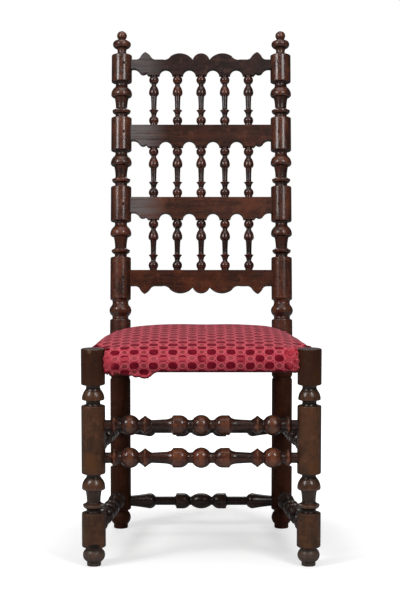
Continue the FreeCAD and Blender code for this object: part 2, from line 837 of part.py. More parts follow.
def make_stretchers():
    """Builds all stretchers and gives the holes that their tenons need in the legs and posts."""
    pieces = {}
    holes = []

    def fit(name, turned, middle, direction, half, radii, depth):
        pieces[name] = fit_stretcher(turned, middle, direction, half, radii, depth)
        holes.extend(tenon_holes(middle, direction, half, radii, depth))

    for level, height in front_stretcher_heights.items():
        turned = ringed_stretcher(front_half - leg_radius, front_half, 1)
        fit("front_stretcher_" + level, turned, Vector(0, 0, height), axis_across, front_half,
            (leg_radius, leg_radius), stretcher_tenon_depth)
    for level, height in rear_stretcher_heights.items():
        radius = post_radius if level == "lower" else shaft_radius
        turned = plain_stretcher(back_half - radius, back_half)
        fit("rear_stretcher_" + level, turned, Vector(0, leg_depth, height), axis_across, back_half,
            (radius, radius), short_tenon_depth)
    half = side_length * half_share
    for level, height in side_stretcher_heights.items():
        radius = post_radius if level == "lower" else shaft_radius
        for side, sign in sides.items():
            turned = ringed_stretcher(half - leg_radius, half, side_stretcher_diameter_share)
            middle = Vector(sign * (front_half + back_half) * half_share, leg_depth * half_share, height)
            direction = Vector(sign * (back_half - front_half), leg_depth, 0)
            fit("side_stretcher_" + level + "_" + side, turned, middle, direction, half,
                (leg_radius, radius), short_tenon_depth)
    return pieces, holes


def seat_rail_box(length, height, thickness, middle_height):
    """A bar along X, centred on the origin in plan."""
    low = middle_height - height * half_share
    return Part.makeBox(length, thickness, height, Vector(-length * half_share, -thickness * half_share, low))


def side_rail_turn(sign):
    return sign * (quarter_turn + math.degrees(side_angle))


def make_seat_rails(envelopes):
    """Builds the four seat rails with tenons, and the mortises that they need."""
    tenon_height = seat_rail_height - seat_tenon_shoulder - seat_tenon_shoulder
    mortise_height = tenon_height + fit_clearance + fit_clearance
    mortise_thickness = seat_tenon_thickness + fit_clearance + fit_clearance
    pieces = {}
    mortises = []
    spans = {"front": (front_half, 0), "rear": (back_half, leg_depth + back_offset)}
    for name, (half, place) in spans.items():
        body = seat_rail_box(half + half, seat_rail_height, seat_rail_thickness, seat_rail_middle)
        body.translate(Vector(0, place, 0))
        reach = half + seat_tenon_past_axis
        tenon = seat_rail_box(reach + reach, tenon_height, seat_tenon_thickness, seat_rail_middle)
        room = seat_rail_box(reach + reach + hole_end_gap + hole_end_gap, mortise_height,
                             mortise_thickness, seat_rail_middle)
        for shape in (tenon, room):
            shape.translate(Vector(0, place, 0))
        pieces["seat_rail_" + name] = body.cut(envelopes).fuse(tenon).removeSplitter()
        mortises.append(room)
    for side, sign in sides.items():
        body = seat_rail_box(side_length, seat_rail_height, seat_rail_thickness, seat_rail_middle)
        reach = side_length - side_tenon_clear_of_axis - side_tenon_clear_of_axis
        tenon = seat_rail_box(reach, tenon_height, seat_tenon_thickness, seat_rail_middle)
        room = seat_rail_box(reach + hole_end_gap + hole_end_gap, mortise_height,
                             mortise_thickness, seat_rail_middle)
        for shape in (body, tenon, room):
            shape.rotate(Vector(0, 0, 0), axis_up, side_rail_turn(sign))
            shape.translate(Vector(sign * (front_half + back_half) * half_share, leg_depth * half_share, 0))
        pieces["seat_rail_" + side] = body.cut(envelopes).fuse(tenon).removeSplitter()
        mortises.append(room)
    return pieces, mortises


def make_seat_pegs(gap):
    """The pegs of the seat rails' tenons: two in each front leg and two in each back post."""
    pegs = []
    radius = peg_diameter * half_share + gap
    far = seat_tenon_thickness * half_share + peg_past_tenon + gap
    front = math.sqrt(leg_radius ** 2 - peg_inset ** 2) + peg_proud
    upper = seat_rail_middle + peg_diameter
    lower = seat_rail_middle - peg_diameter
    rear_reach = math.sqrt(post_radius ** 2 - peg_inset ** 2) / math.cos(rake)
    rear_reach = rear_reach + (upper - seat_rail_middle) * math.tan(rake) + peg_proud
    for sign in sides.values():
        across = sign * (front_half - peg_inset)
        pegs.append(Part.makeCylinder(radius, front + far, Vector(across, -front, upper), axis_back))
        across = sign * (back_half - peg_inset)
        start = Vector(across, leg_depth + back_offset + rear_reach, upper)
        pegs.append(Part.makeCylinder(radius, rear_reach + far, start, -axis_back))
        legs = ((front_half, 0, leg_radius, 1), (back_half, leg_depth, post_radius, -1))
        for half, place, leg, step in legs:
            edge = math.sqrt(leg ** 2 - side_peg_inset ** 2) + peg_proud + peg_slant
            inner = seat_tenon_thickness * half_share + peg_past_tenon + gap + peg_slant
            origin = Vector(sign * (half + edge), place + step * side_peg_inset, lower)
            pegs.append(Part.makeCylinder(radius, edge + inner, origin, axis_across * -sign))
    return pegs


def crown_section(place, half, rim, radius, rise):
    """An upright cross section of the crown: straight sides, rounded shoulders and an arched top."""
    slant = radius * (1 - math.sqrt(half_share))
    low = seat_rail_bottom - seat_rail_height
    left, right = [(Vector(sign * half, place, low), Vector(sign * half, place, rim - radius),
                    Vector(sign * (half - slant), place, rim - slant),
                    Vector(sign * (half - radius), place, rim)) for sign in sides.values()]
    return Part.Wire([line(left[0], right[0]), line(right[0], right[1]), arc(right[1], right[-2], right[-1]),
                      arc(right[-1], Vector(0, place, rim + rise), left[-1]),
                      arc(left[-1], left[-2], left[1]), line(left[1], left[0])])


def crown(inset):
    """The padded form over and round the seat rails: straight sides, rounded rim and a domed top."""
    over = seat_rail_thickness * half_share + cover_thickness + cover_gap
    front = -over + inset
    back = leg_depth + back_offset + over - inset
    rim = seat_rail_top + seat_rim_rise - inset
    end = seat_end_radius - inset

    def section(place, drop, rise_share):
        half = front_half - side_slope * place + (over - inset) / math.cos(side_angle)
        bulge = cover_bulge_share * math.sin(math.pi * (place - front) / (back - front))
        return crown_section(place, half * (1 + bulge), rim - drop, seat_edge_radius - inset,
                             seat_crown_rise * rise_share)

    middle = [section(front + end + (back - front - end - end) * share, 0, rise_share)
              for share, rise_share in zip(crown_place_shares, crown_rise_shares)]
    drops = [end * (1 - math.sqrt(1 - (1 - share) ** 2)) for share in crown_end_shares]
    first = [section(front + end * share, drop, crown_rise_shares[0])
             for share, drop in zip(crown_end_shares, drops)]
    last = [section(back - end * share, drop, crown_rise_shares[-1])
            for share, drop in zip(crown_end_shares, drops)]
    forms = [Part.makeLoft(wires, True, False) for wires in (middle, first, last)]
    return forms[0].fuse(forms[1:])


def above(shape, height):
    """Cuts away what lies below a height."""
    size = leg_depth * len(tiers)
    corner = Vector(-size * half_share, -size * half_share, height)
    return shape.common(Part.makeBox(size, size, size, corner))


def seat_plan(inset, bottom, thickness):
    """A flat trapezoid over the seat rails, set in by this much from their outer faces."""
    front = -seat_rail_thickness * half_share + inset
    back = leg_depth + back_offset + seat_rail_thickness * half_share - inset
    widening = (seat_rail_thickness * half_share - inset) / math.cos(side_angle)
    corners = []
    for sign, place in ((-1, front), (1, front), (1, back), (-1, back)):
        half = front_half - side_slope * place + widening
        corners.append(Vector(sign * half, place, bottom))
    corners.append(corners[0])
    return Part.Face(Part.makePolygon(corners)).extrude(Vector(0, 0, thickness))


def make_cover(leg_rooms):
    """The fabric cover: a thin shell over the stuffing and rails, turned under at its lower edge."""
    bottom = seat_rail_bottom - cover_gap
    outer = above(crown(0), bottom)
    inner = crown(cover_thickness)
    lip_start = -(cover_thickness + cover_gap)
    lip = seat_plan(lip_start, bottom - cover_thickness, cover_thickness)
    hole_bottom = bottom - cover_thickness - cover_thickness
    lip = lip.cut(seat_plan(cover_lip_width, hole_bottom, cover_thickness * len(tiers)))
    return outer.cut(inner).fuse(lip).cut(leg_rooms).removeSplitter()


def strip_outline(length, crossings, over_first):
    """Side view of one webbing strip along X from zero: it rises over every second strip it meets."""
    base = []
    for index, crossing in enumerate(crossings):
        if (index % len(sides) == 0) == over_first:
            reach = webbing_width * half_share + fit_clearance
            base += [(crossing - reach - webbing_slope, 0), (crossing - reach, webbing_thickness),
                     (crossing + reach, webbing_thickness), (crossing + reach + webbing_slope, 0)]
    base = [(-length * half_share, 0)] + base + [(length * half_share, 0)]
    lower = [Vector(place, 0, height) for place, height in base]
    upper = [Vector(place, 0, height + webbing_thickness) for place, height in reversed(base)]
    return Part.Face(Part.makePolygon(lower + upper + lower[:1]))


def strip_centres(count, spacing):
    return [spacing * (index - (count - 1) * half_share) for index in range(count)]


def make_webbing():
    """Interlaced strips over the rails, with the places of the tacks that hold their ends."""
    strips = []
    tacks = []
    depth = leg_depth + back_offset + seat_rail_thickness - webbing_inset - webbing_inset
    middle = (leg_depth + back_offset) * half_share
    cross_places = strip_centres(cross_webbing_count, cross_webbing_spacing)
    long_places = strip_centres(long_webbing_count, long_webbing_spacing)
    tack_inset = seat_rail_thickness * half_share - webbing_inset
    for index, across in enumerate(long_places):
        face = strip_outline(depth, cross_places, index % len(sides) == 0)
        strip = face.extrude(Vector(0, webbing_width, 0))
        strip.translate(Vector(0, -webbing_width * half_share, 0))
        strip.rotate(Vector(0, 0, 0), axis_up, quarter_turn)
        strip.translate(Vector(across, middle, seat_rail_top))
        strips.append(strip)
        for end in (-1, 1):
            for step in strip_centres(webbing_tacks_per_end, webbing_tack_spacing):
                tack_place = middle + end * (depth * half_share - tack_inset)
                tacks.append(Vector(across + step, tack_place, seat_rail_top))
    for index, place in enumerate(cross_places):
        depth_place = middle + place
        half = front_half - side_slope * depth_place + seat_rail_thickness * half_share
        half = half - webbing_inset - webbing_slope * half_share
        face = strip_outline(half + half, long_places, index % len(sides) != 0)
        strip = face.extrude(Vector(0, webbing_width, 0))
        strip.translate(Vector(0, depth_place - webbing_width * half_share, seat_rail_top))
        strips.append(strip)
        for end in (-1, 1):
            for step in strip_centres(webbing_tacks_per_end, webbing_tack_spacing):
                rail_middle = front_half - side_slope * (depth_place + step)
                tacks.append(Vector(end * rail_middle, depth_place + step, seat_rail_top))
    return strips, tacks


def tack(gap):
    """One tack: a flat round head over height zero and a shank below it."""
    head = Part.makeCylinder(tack_head_diameter * half_share, tack_head_height, Vector(0, 0, 0), axis_up)
    radius = tack_shank_diameter * half_share + gap
    length = tack_shank_length + gap
    shank = Part.makeCylinder(radius, length, Vector(0, 0, -length), axis_up)
    return head, shank


def make_webbing_tacks(places):
    """Tacks through the ends of the strips, with the holes that their shanks need."""
    tacks = []
    holes = []
    for place in places:
        top = place + Vector(0, 0, webbing_thickness)
        head, shank = tack(0)
        nail = head.fuse(shank)
        nail.translate(top)
        tacks.append(nail)
        hole = tack(tack_hole_gap)[1]
        hole.translate(top)
        holes.append(hole)
    return tacks, holes


def make_cover_tacks():
    """Tacks driven up through the cover's turned-under edge into the rails."""
    tacks = []
    holes = []
    bottom = seat_rail_bottom - cover_gap - cover_thickness
    rear = leg_depth + back_offset
    rows = [(Vector(-front_half, 0, bottom), Vector(front_half, 0, bottom)),
            (Vector(-back_half, rear, bottom), Vector(back_half, rear, bottom))]
    for sign in sides.values():
        rows.append((Vector(sign * front_half, 0, bottom), Vector(sign * back_half, leg_depth, bottom)))
    for first, last in rows:
        way = last - first
        clear = way.Length - leg_diameter - leg_diameter
        count = int(clear // cover_tack_spacing) + 1
        unit = Vector(way).normalize()
        for index in range(count):
            offset = cover_tack_spacing * (index - (count - 1) * half_share)
            place = first + way * half_share + unit * offset
            head, shank = tack(0)
            nail = head.fuse(shank)
            nail.rotate(Vector(0, 0, 0), axis_across, quarter_turn + quarter_turn)
            nail.translate(place)
            tacks.append(nail)
            hole = tack(tack_hole_gap)[1]
            hole.rotate(Vector(0, 0, 0), axis_across, quarter_turn + quarter_turn)
            hole.translate(place)
            holes.append(hole)
    return tacks, holes


def make_back(pieces):
    """Builds the back rails, their pegs and the spindles, and gives the mortises for the posts."""
    envelopes = Part.makeCompound([to_leg(post_envelope(fit_clearance), side, False) for side in sides])
    holes = pin_holes()
    mortises = []
    pegs = []
    peg_rooms = []
    for name, (edges, low, high) in back_rail_outlines().items():
        board = place_back(extrude(edges, back_rail_thickness).cut(holes))
        tenons = tenon_block(low, high, 0)
        rooms = [back_peg(across, height, fit_clearance) for across, height in back_peg_places(low, high)]
        rooms = place_back(Part.makeCompound(rooms))
        pegs += [place_back(back_peg(across, height, 0)) for across, height in back_peg_places(low, high)]
        middle_part = Part.makeBox(clear_half + clear_half, back_rail_thickness + back_rail_thickness,
                                   high - low, Vector(-clear_half, -back_rail_thickness, low))
        tenons = place_back(tenons.cut(middle_part))
        pieces[name] = board.cut(envelopes).fuse(tenons).cut(rooms).removeSplitter()
        mortises.append(place_back(tenon_block(low, high, fit_clearance)))
        peg_rooms.append(rooms)
    pieces["back_rail_pegs"] = Part.makeCompound(pegs)
    for step, tier in enumerate(tiers):
        for index, centre in enumerate(spindle_centres()):
            piece = spindle()
            piece.translate(Vector(centre, 0, lumbar_rail_top + tier_pitch * step))
            pieces[tier + "_spindle_" + str(index + 1)] = place_back(piece)
    return mortises + peg_rooms


def build():
    """Builds every piece in place."""
    pieces = {}
    back_rooms = make_back(pieces)
    stretchers, holes = make_stretchers()
    pieces.update(stretchers)
    envelopes = [to_leg(post_envelope(fit_clearance), side, False) for side in sides]
    tall = leg_top + seat_rail_height
    for side in sides:
        blank = Part.makeCylinder(leg_radius + fit_clearance, tall, Vector(0, 0, 0), axis_up)
        envelopes.append(to_leg(blank, side, True))
    rails, mortises = make_seat_rails(Part.makeCompound(envelopes))
    seat_peg_rooms = make_seat_pegs(fit_clearance)
    pieces["seat_rail_pegs"] = Part.makeCompound(make_seat_pegs(0))
    strips, webbing_tack_places = make_webbing()
    webbing_tacks, webbing_holes = make_webbing_tacks(webbing_tack_places)
    cover_tacks, cover_holes = make_cover_tacks()
    rail_cuts = Part.makeCompound(seat_peg_rooms + webbing_holes + cover_holes)
    for name, rail in rails.items():
        pieces[name] = rail.cut(rail_cuts)
    post_cuts = Part.makeCompound(back_rooms + holes + mortises + seat_peg_rooms)
    for side in sides:
        pieces["front_leg_" + side] = to_leg(front_leg(), side, True).cut(post_cuts)
        pieces["back_post_" + side] = to_leg(back_post(), side, False).cut(post_cuts)
    leg_rooms = [to_leg(post_envelope(leg_notch_gap), side, False) for side in sides]
    for side in sides:
        blank = Part.makeCylinder(leg_radius + leg_notch_gap, tall, Vector(0, 0, 0), axis_up)
        leg_rooms.append(to_leg(blank, side, True))
    leg_rooms = Part.makeCompound(leg_rooms)
    webbing_cuts = Part.makeCompound(webbing_holes)
    pieces["seat_webbing"] = Part.makeCompound([strip.cut(webbing_cuts) for strip in strips])
    pieces["webbing_tacks"] = Part.makeCompound(webbing_tacks)
    cloth_bottom = seat_rail_top + webbing_thickness + webbing_thickness
    pieces["seat_base_cloth"] = seat_plan(base_cloth_inset, cloth_bottom, base_cloth_thickness).cut(leg_rooms)
    stuffing = above(crown(cover_thickness + cover_gap), cloth_bottom + base_cloth_thickness)
    pieces["seat_stuffing"] = stuffing.cut(leg_rooms)
    pieces["seat_cover"] = make_cover(leg_rooms).cut(Part.makeCompound(cover_holes))
    pieces["cover_tacks"] = Part.makeCompound(cover_tacks)
    return pieces


def centre_on_floor(pieces):
    """Moves every piece so that the floor under the middle of the chair is the origin."""
    box = Part.makeCompound(list(pieces.values())).optimalBoundingBox()
    shift = Vector(-(box.XMin + box.XMax) * half_share, -(box.YMin + box.YMax) * half_share, -box.ZMin)
    for shape in pieces.values():
        shape.translate(shift)


chair = build()
centre_on_floor(chair)
os.makedirs("parts", exist_ok=True)
for name, shape in chair.items():
    shape.exportStep("parts/" + name + ".step")
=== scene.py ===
import math

import bpy
import numpy as np
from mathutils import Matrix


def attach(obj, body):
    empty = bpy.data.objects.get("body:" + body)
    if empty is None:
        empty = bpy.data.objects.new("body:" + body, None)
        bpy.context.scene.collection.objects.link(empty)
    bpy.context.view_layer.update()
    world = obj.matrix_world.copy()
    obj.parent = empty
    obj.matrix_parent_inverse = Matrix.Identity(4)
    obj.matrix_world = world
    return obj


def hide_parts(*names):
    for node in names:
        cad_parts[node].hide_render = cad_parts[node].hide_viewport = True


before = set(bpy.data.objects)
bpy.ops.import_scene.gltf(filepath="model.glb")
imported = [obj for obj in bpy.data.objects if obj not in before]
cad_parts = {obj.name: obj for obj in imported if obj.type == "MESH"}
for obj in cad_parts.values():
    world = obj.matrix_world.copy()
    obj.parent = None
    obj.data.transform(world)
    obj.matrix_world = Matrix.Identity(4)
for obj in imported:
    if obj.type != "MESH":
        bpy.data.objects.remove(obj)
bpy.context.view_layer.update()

# Back posts. Each is turned from one length of walnut, upright below the seat and raked above it.
# The lathe left round blocks joined by necks, rings, domes and balls. Wax and hands have polished
# the swells, and dark grime has settled in the necks, where painted shade darkens them further.
FRONT_LEG_X = 0.235
FRONT_LEG_Y = -0.25758
BACK_POST_X = 0.194
BACK_POST_Y = 0.11242
BEND_HEIGHT = 0.430
RAKE = math.radians(11.5)
UPRIGHT = (0.0, 0.0, 0.0)
# A near-black for grime, pores, scuffs and cracks, and also for painted shade: in crevices, on downward faces
# and at the slanting sides of each piece.
GRIME_AND_SHADE = (0.008, 0.0055, 0.0045)
# Painted shadow: the colour of the back posts below the seat, where the seat's shadow falls.
SEAT_SHADOW = (0.034, 0.0085, 0.0028)
POST_TONES = ((0.024, 0.0075, 0.0045), (0.078, 0.0230, 0.0120),
              (0.135, 0.0385, 0.0185), (0.24, 0.075, 0.032))
POST_RADII = (0.0135, 0.0190, 0.0256)
FINIAL_START = 0.720
PEG_MARKS = [((-0.186, 0.22, 1.119), (0.003, 0.05, 0.003), GRIME_AND_SHADE),
             ((-0.186, 0.12, 0.604), (0.003, 0.05, 0.003), GRIME_AND_SHADE)]


def feed(tree, node, inputs):
    """Links every input that is given another node's output, and sets any other. Colours are opaque."""
    for key, value in inputs.items():
        socket = node.inputs[key]
        if isinstance(value, bpy.types.NodeSocket):
            tree.links.new(value, socket)
        else:
            socket.default_value = (*value, 1.0) if socket.type == "RGBA" else value


def add_node(tree, kind, inputs, **settings):
    """Adds one node with its inputs and settings."""
    node = tree.nodes.new(kind)
    for key, value in settings.items():
        setattr(node, key, value)
    feed(tree, node, inputs)
    return node


def calc(tree, operation, *numbers):
    """One sum on numbers."""
    return add_node(tree, "ShaderNodeMath", dict(enumerate(numbers)), operation=operation).outputs[0]


def times(tree, first, second):
    """Two numbers multiplied."""
    return calc(tree, "MULTIPLY", first, second)


def minus(tree, first, second):
    """The first number less the second."""
    return calc(tree, "SUBTRACT", first, second)


def move(tree, operation, first, second):
    """One sum on vectors."""
    return add_node(tree, "ShaderNodeVectorMath", {0: first, 1: second}, operation=operation).outputs[0]


def between(tree, value, low, high):
    """A smooth step: 0 where the value is at low, 1 where it is at high, either way round."""
    step = add_node(tree, "ShaderNodeMapRange", {"Value": value, "From Min": low, "From Max": high},
                    interpolation_type="SMOOTHSTEP")
    return step.outputs[0]


def blend(tree, share, first, second, kind="MIX"):
    """The first colour where the share is 0 and the second where it is 1."""
    mix = add_node(tree, "ShaderNodeMix", {0: share, 6: first, 7: second}, data_type="RGBA", blend_type=kind)
    return mix.outputs[2]


def laid(tree, colour, share, strength, paint):
    """A paint laid over a colour, by a share from 0 to 1 times its strength."""
    return blend(tree, times(tree, share, strength), colour, paint)


def noise(tree, vector, scale, detail, roughness, distortion=0.0):
    """Cloudy noise from 0 to 1."""
    node = add_node(tree, "ShaderNodeTexNoise", {"Vector": vector, "Scale": scale, "Detail": detail,
                                                 "Roughness": roughness, "Distortion": distortion})
    return node.outputs[0]


def grain(tree, vector, squeeze, *shape):
    """Cloudy noise drawn out along Z, by squeezing that coordinate to a share of itself."""
    return noise(tree, move(tree, "MULTIPLY", vector, (1.0, 1.0, squeeze)), *shape)


def new_material(name):
    """An empty material with a Principled shader on its output."""
    material = bpy.data.materials.new(name)
    material.use_nodes = True
    tree = material.node_tree
    tree.nodes.clear()
    shader = add_node(tree, "ShaderNodeBsdfPrincipled", {})
    add_node(tree, "ShaderNodeOutputMaterial", {"Surface": shader.outputs[0]})
    return material, tree, shader


def on_chair(tree):
    """Where a point lies on the chair: the object coordinates."""
    return add_node(tree, "ShaderNodeTexCoord", {}).outputs["Object"]


def along_axis(tree, foot, turn):
    """Object coordinates seen from a foot point, turned so that a piece's own axis is Z."""
    mapping = add_node(tree, "ShaderNodeMapping", {"Vector": on_chair(tree), "Location": foot,
                                                   "Rotation": turn}, vector_type="TEXTURE")
    return mapping.outputs[0]


def split(tree, vector):
    """The three parts of a vector."""
    return add_node(tree, "ShaderNodeSeparateXYZ", {0: vector}).outputs


def length(tree, vector):
    """The length of a vector."""
    return add_node(tree, "ShaderNodeVectorMath", {0: vector}, operation="LENGTH").outputs["Value"]


def egg(tree, centre, sizes):
    """1 on an egg shape of three half sizes round a place on the chair, less inside it."""
    return length(tree, move(tree, "DIVIDE", move(tree, "SUBTRACT", on_chair(tree), centre), sizes))


def wood_finish(tree, shader, local, tones, turned, seed, rough, wax, relief_depth=0.0008, grime_share=0.6,
                marks=()):
    """Old waxed wood. Streaks and pores run along Z, and cloudy noise shifts the tone. Turned holds
    the radii of a turning's necks, body and rims: grime fills what lies nearer the axis than the body,
    and rubbing bares the rims. An occlusion test paints every crevice, and every place where parts
    meet, dark with painted shade, taken together with that grime, and it dulls the coat of wax there.
    Faces that look down are painted dark too, a painted shade, and were never waxed. The colour is
    painted darker where the surface is seen at a slant, a painted shade at the sides of each piece.
    Arrises are softened and rubbed, and each mark is a place, its size and its colour."""
    dark, base, warm, worn = tones
    shifted = move(tree, "ADD", local, (seed, seed * 0.37, seed * 1.9))
    streaks = grain(tree, shifted, 0.05, 260.0, 5.0, 0.65, 0.5)
    pores = grain(tree, shifted, 0.06, 1000.0, 2.0, 0.6)
    bands = grain(tree, shifted, 0.10, 85.0, 4.0, 0.6, 0.6)
    cloud = noise(tree, shifted, 15.0, 4.0, 0.6, 0.4)
    smudge = noise(tree, shifted, 60.0, 4.0, 0.62)
    scuff = noise(tree, shifted, 420.0, 3.0, 0.65)
    uneven = minus(tree, smudge, 0.5)
    # Painted shade: an occlusion test darkens every crevice and every place where parts meet, taken together
    # with the grime below.
    occlusion_shade = add_node(tree, "ShaderNodeAmbientOcclusion", {"Distance": 0.020}, samples=6).outputs["AO"]
    occlusion_shade = calc(tree, "MULTIPLY_ADD", uneven, 0.35, occlusion_shade)
    grime_and_crevice_shade = times(tree, between(tree, occlusion_shade, 0.84, 0.44), 0.9)
    colour = blend(tree, between(tree, streaks, 0.36, 0.64), dark, base)
    for pattern, low, high, strength, paint in (
            (bands, 0.50, 0.66, 0.22, worn), (bands, 0.48, 0.34, 0.60, dark), (cloud, 0.42, 0.66, 0.90, warm),
            (smudge, 0.54, 0.66, 0.55, dark), (smudge, 0.45, 0.35, 0.30, worn)):
        colour = laid(tree, colour, between(tree, pattern, low, high), strength, paint)
    if turned is not None:
        neck, body, rim = turned
        radius = length(tree, move(tree, "MULTIPLY", local, (1.0, 1.0, 0.0)))
        radius = calc(tree, "MULTIPLY_ADD", uneven, 0.005, radius)
        grime_and_crevice_shade = calc(tree, "MAXIMUM", grime_and_crevice_shade, times(tree, between(tree, radius, body, neck), grime_share))
        colour = laid(tree, colour, between(tree, radius, rim * 0.975, rim * 1.05), 0.22, worn)
    soft = add_node(tree, "ShaderNodeBevel", {"Radius": 0.0017}, samples=4).outputs[0]
    sharp = add_node(tree, "ShaderNodeNewGeometry", {}).outputs["Normal"]
    turn = add_node(tree, "ShaderNodeVectorMath", {0: soft, 1: sharp}, operation="DOT_PRODUCT")
    arris = calc(tree, "ADD", minus(tree, 1.0, turn.outputs["Value"]), times(tree, uneven, 0.1))
    colour = laid(tree, colour, between(tree, arris, 0.025, 0.10), 0.8, worn)
    colour = blend(tree, grime_and_crevice_shade, colour, GRIME_AND_SHADE)
    deep = between(tree, pores, 0.58, 0.72)
    # Painted shade: faces that look down are laid over with the near-black, and their coat of wax is left
    # off.
    under = between(tree, split(tree, sharp)[2], -0.55, -0.9)
    for share, strength, paint in ((between(tree, scuff, 0.62, 0.72), 0.28, worn),
                                   (between(tree, scuff, 0.39, 0.29), 0.60, GRIME_AND_SHADE),
                                   (deep, 0.60, GRIME_AND_SHADE), (under, 0.80, GRIME_AND_SHADE)):
        colour = laid(tree, colour, share, strength, paint)
    for centre, sizes, paint in marks:
        ragged = calc(tree, "ADD", egg(tree, centre, sizes), uneven)
        colour = blend(tree, between(tree, ragged, 1.1, 0.5), colour, paint)
    # Painted shade: the colour darkens where the surface is seen at a slant, so each piece is darker at its
    # sides.
    slant = add_node(tree, "ShaderNodeLayerWeight", {"Blend": 0.5, "Normal": soft}).outputs["Facing"]
    colour = laid(tree, colour, between(tree, slant, 0.28, 0.78), 0.62, GRIME_AND_SHADE)
    roughness = calc(tree, "MULTIPLY_ADD", uneven, 0.3, 0.5)
    roughness = calc(tree, "MULTIPLY_ADD", minus(tree, scuff, 0.5), 0.35, roughness)
    dull = calc(tree, "MAXIMUM", under, between(tree, scuff, 0.42, 0.30))
    dull = calc(tree, "MAXIMUM", times(tree, grime_and_crevice_shade, 0.5), dull)
    relief = calc(tree, "ADD", times(tree, streaks, 0.35), times(tree, smudge, 0.9))
    relief = calc(tree, "MULTIPLY_ADD", scuff, 0.22, relief)
    relief = calc(tree, "MULTIPLY_ADD", deep, -0.3, relief)
    bump = add_node(tree, "ShaderNodeBump", {"Height": relief, "Strength": 0.4, "Distance": relief_depth,
                                             "Normal": soft}).outputs[0]
    feed(tree, shader, {"Base Color": colour, "Roughness": roughness, "Specular IOR Level": 0.10,
                        "Coat Weight": times(tree, minus(tree, 1.0, dull), wax), "Coat Roughness": rough,
                        "Normal": bump, "Coat Normal": bump})


def repaint(tree, shader, share, paint):
    """Lays one more paint over a shader's colour."""
    colour = shader.inputs["Base Color"].links[0].from_socket
    feed(tree, shader, {"Base Color": blend(tree, share, colour, paint)})


def dress(node, material):
    """Gives a carried-over CAD node one material."""
    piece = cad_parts[node]
    piece.data.materials.clear()
    piece.data.materials.append(material)


for side, sign in (("left", -1), ("right", 1)):
    material, tree, shader = new_material("post_walnut_" + side)
    foot = (sign * BACK_POST_X, BACK_POST_Y, BEND_HEIGHT)
    # The grain is upright below the bend and raked above it, and the finial is free of grime.
    upright = along_axis(tree, foot, UPRIGHT)
    raked = along_axis(tree, foot, (-RAKE, 0.0, 0.0))
    height = split(tree, upright)[2]
    over = calc(tree, "GREATER_THAN", height, 0.0)
    local = add_node(tree, "ShaderNodeMix", {0: over, 4: upright, 5: raked}, data_type="VECTOR").outputs[1]
    below_finial = between(tree, split(tree, local)[2], FINIAL_START + 0.008, FINIAL_START)
    wax = calc(tree, "MULTIPLY_ADD", between(tree, height, 0.20, 0.62), 0.30, 0.70)
    wax = times(tree, wax, between(tree, height, -0.06, 0.02))
    wood_finish(tree, shader, local, POST_TONES, POST_RADII, 3.1 + sign, rough=0.21, wax=wax,
                relief_depth=0.0007, grime_share=times(tree, below_finial, 0.6),
                marks=PEG_MARKS if side == "left" else ())
    # Painted shadow of the seat: below the bend the posts are laid over with a darker colour.
    repaint(tree, shader, times(tree, between(tree, height, 0.02, -0.03), 0.7), SEAT_SHADOW)
    dress("back_post_" + side, material)

# Front legs. Each is turned from one length of walnut with a flat top that stands proud of the seat.
# Shoes and brooms have rubbed them dull and brown, the left one is chipped at its top corner, and
# its lowest block has split above the foot.
LEG_TONES = ((0.044, 0.0200, 0.0105), (0.072, 0.0320, 0.0170),
             (0.118, 0.0460, 0.0205), (0.21, 0.080, 0.032))
TOP_BLOCK = (0.036, 0.0085, 0.0025)
FOOT_DUST = (0.120, 0.092, 0.078)
PALE_BREAK = (0.30, 0.19, 0.11)
RUBBED_ORANGE = (0.105, 0.040, 0.014)
LEG_RADII = (0.0150, 0.0205, 0.0272)
leg_marks = {
    "left": [((-0.241, -0.284, 0.4745), (0.005, 0.006, 0.006), PALE_BREAK),
             ((-0.242, -0.285, 0.232), (0.020, 0.02, 0.026), RUBBED_ORANGE),
             ((-0.233, -0.284, 0.0475), (0.016, 0.012, 0.006), GRIME_AND_SHADE),
             ((-0.228, -0.284, 0.041), (0.005, 0.012, 0.011), GRIME_AND_SHADE)],
    "right": [((0.247, -0.280, 0.222), (0.018, 0.02, 0.024), RUBBED_ORANGE),
              ((0.249, -0.280, 0.415), (0.014, 0.02, 0.026), RUBBED_ORANGE)]}


def band(tree, height, low, high):
    """1 between two heights and 0 beyond them, over soft edges of 6 mm."""
    return times(tree, between(tree, height, low - 0.003, low + 0.003),
                 between(tree, height, high + 0.003, high - 0.003))


for side, sign in (("left", -1), ("right", 1)):
    material, tree, shader = new_material("leg_walnut_" + side)
    local = along_axis(tree, (sign * FRONT_LEG_X, FRONT_LEG_Y, 0.0), UPRIGHT)
    height = split(tree, local)[2]
    domes = calc(tree, "ADD", band(tree, height, 0.354, 0.399), band(tree, height, 0.120, 0.204))
    wood_finish(tree, shader, local, LEG_TONES, LEG_RADII, 7.7 + sign, rough=0.20,
                wax=calc(tree, "MULTIPLY_ADD", domes, 0.65, 0.25), grime_share=0.7, marks=leg_marks[side])
    repaint(tree, shader, times(tree, between(tree, height, 0.394, 0.402), 0.70), TOP_BLOCK)
    greying = times(tree, between(tree, height, 0.046, 0.036), noise(tree, local, 120.0, 4.0, 0.7))
    repaint(tree, shader, greying, FOOT_DUST)
    dress("front_leg_" + side, material)

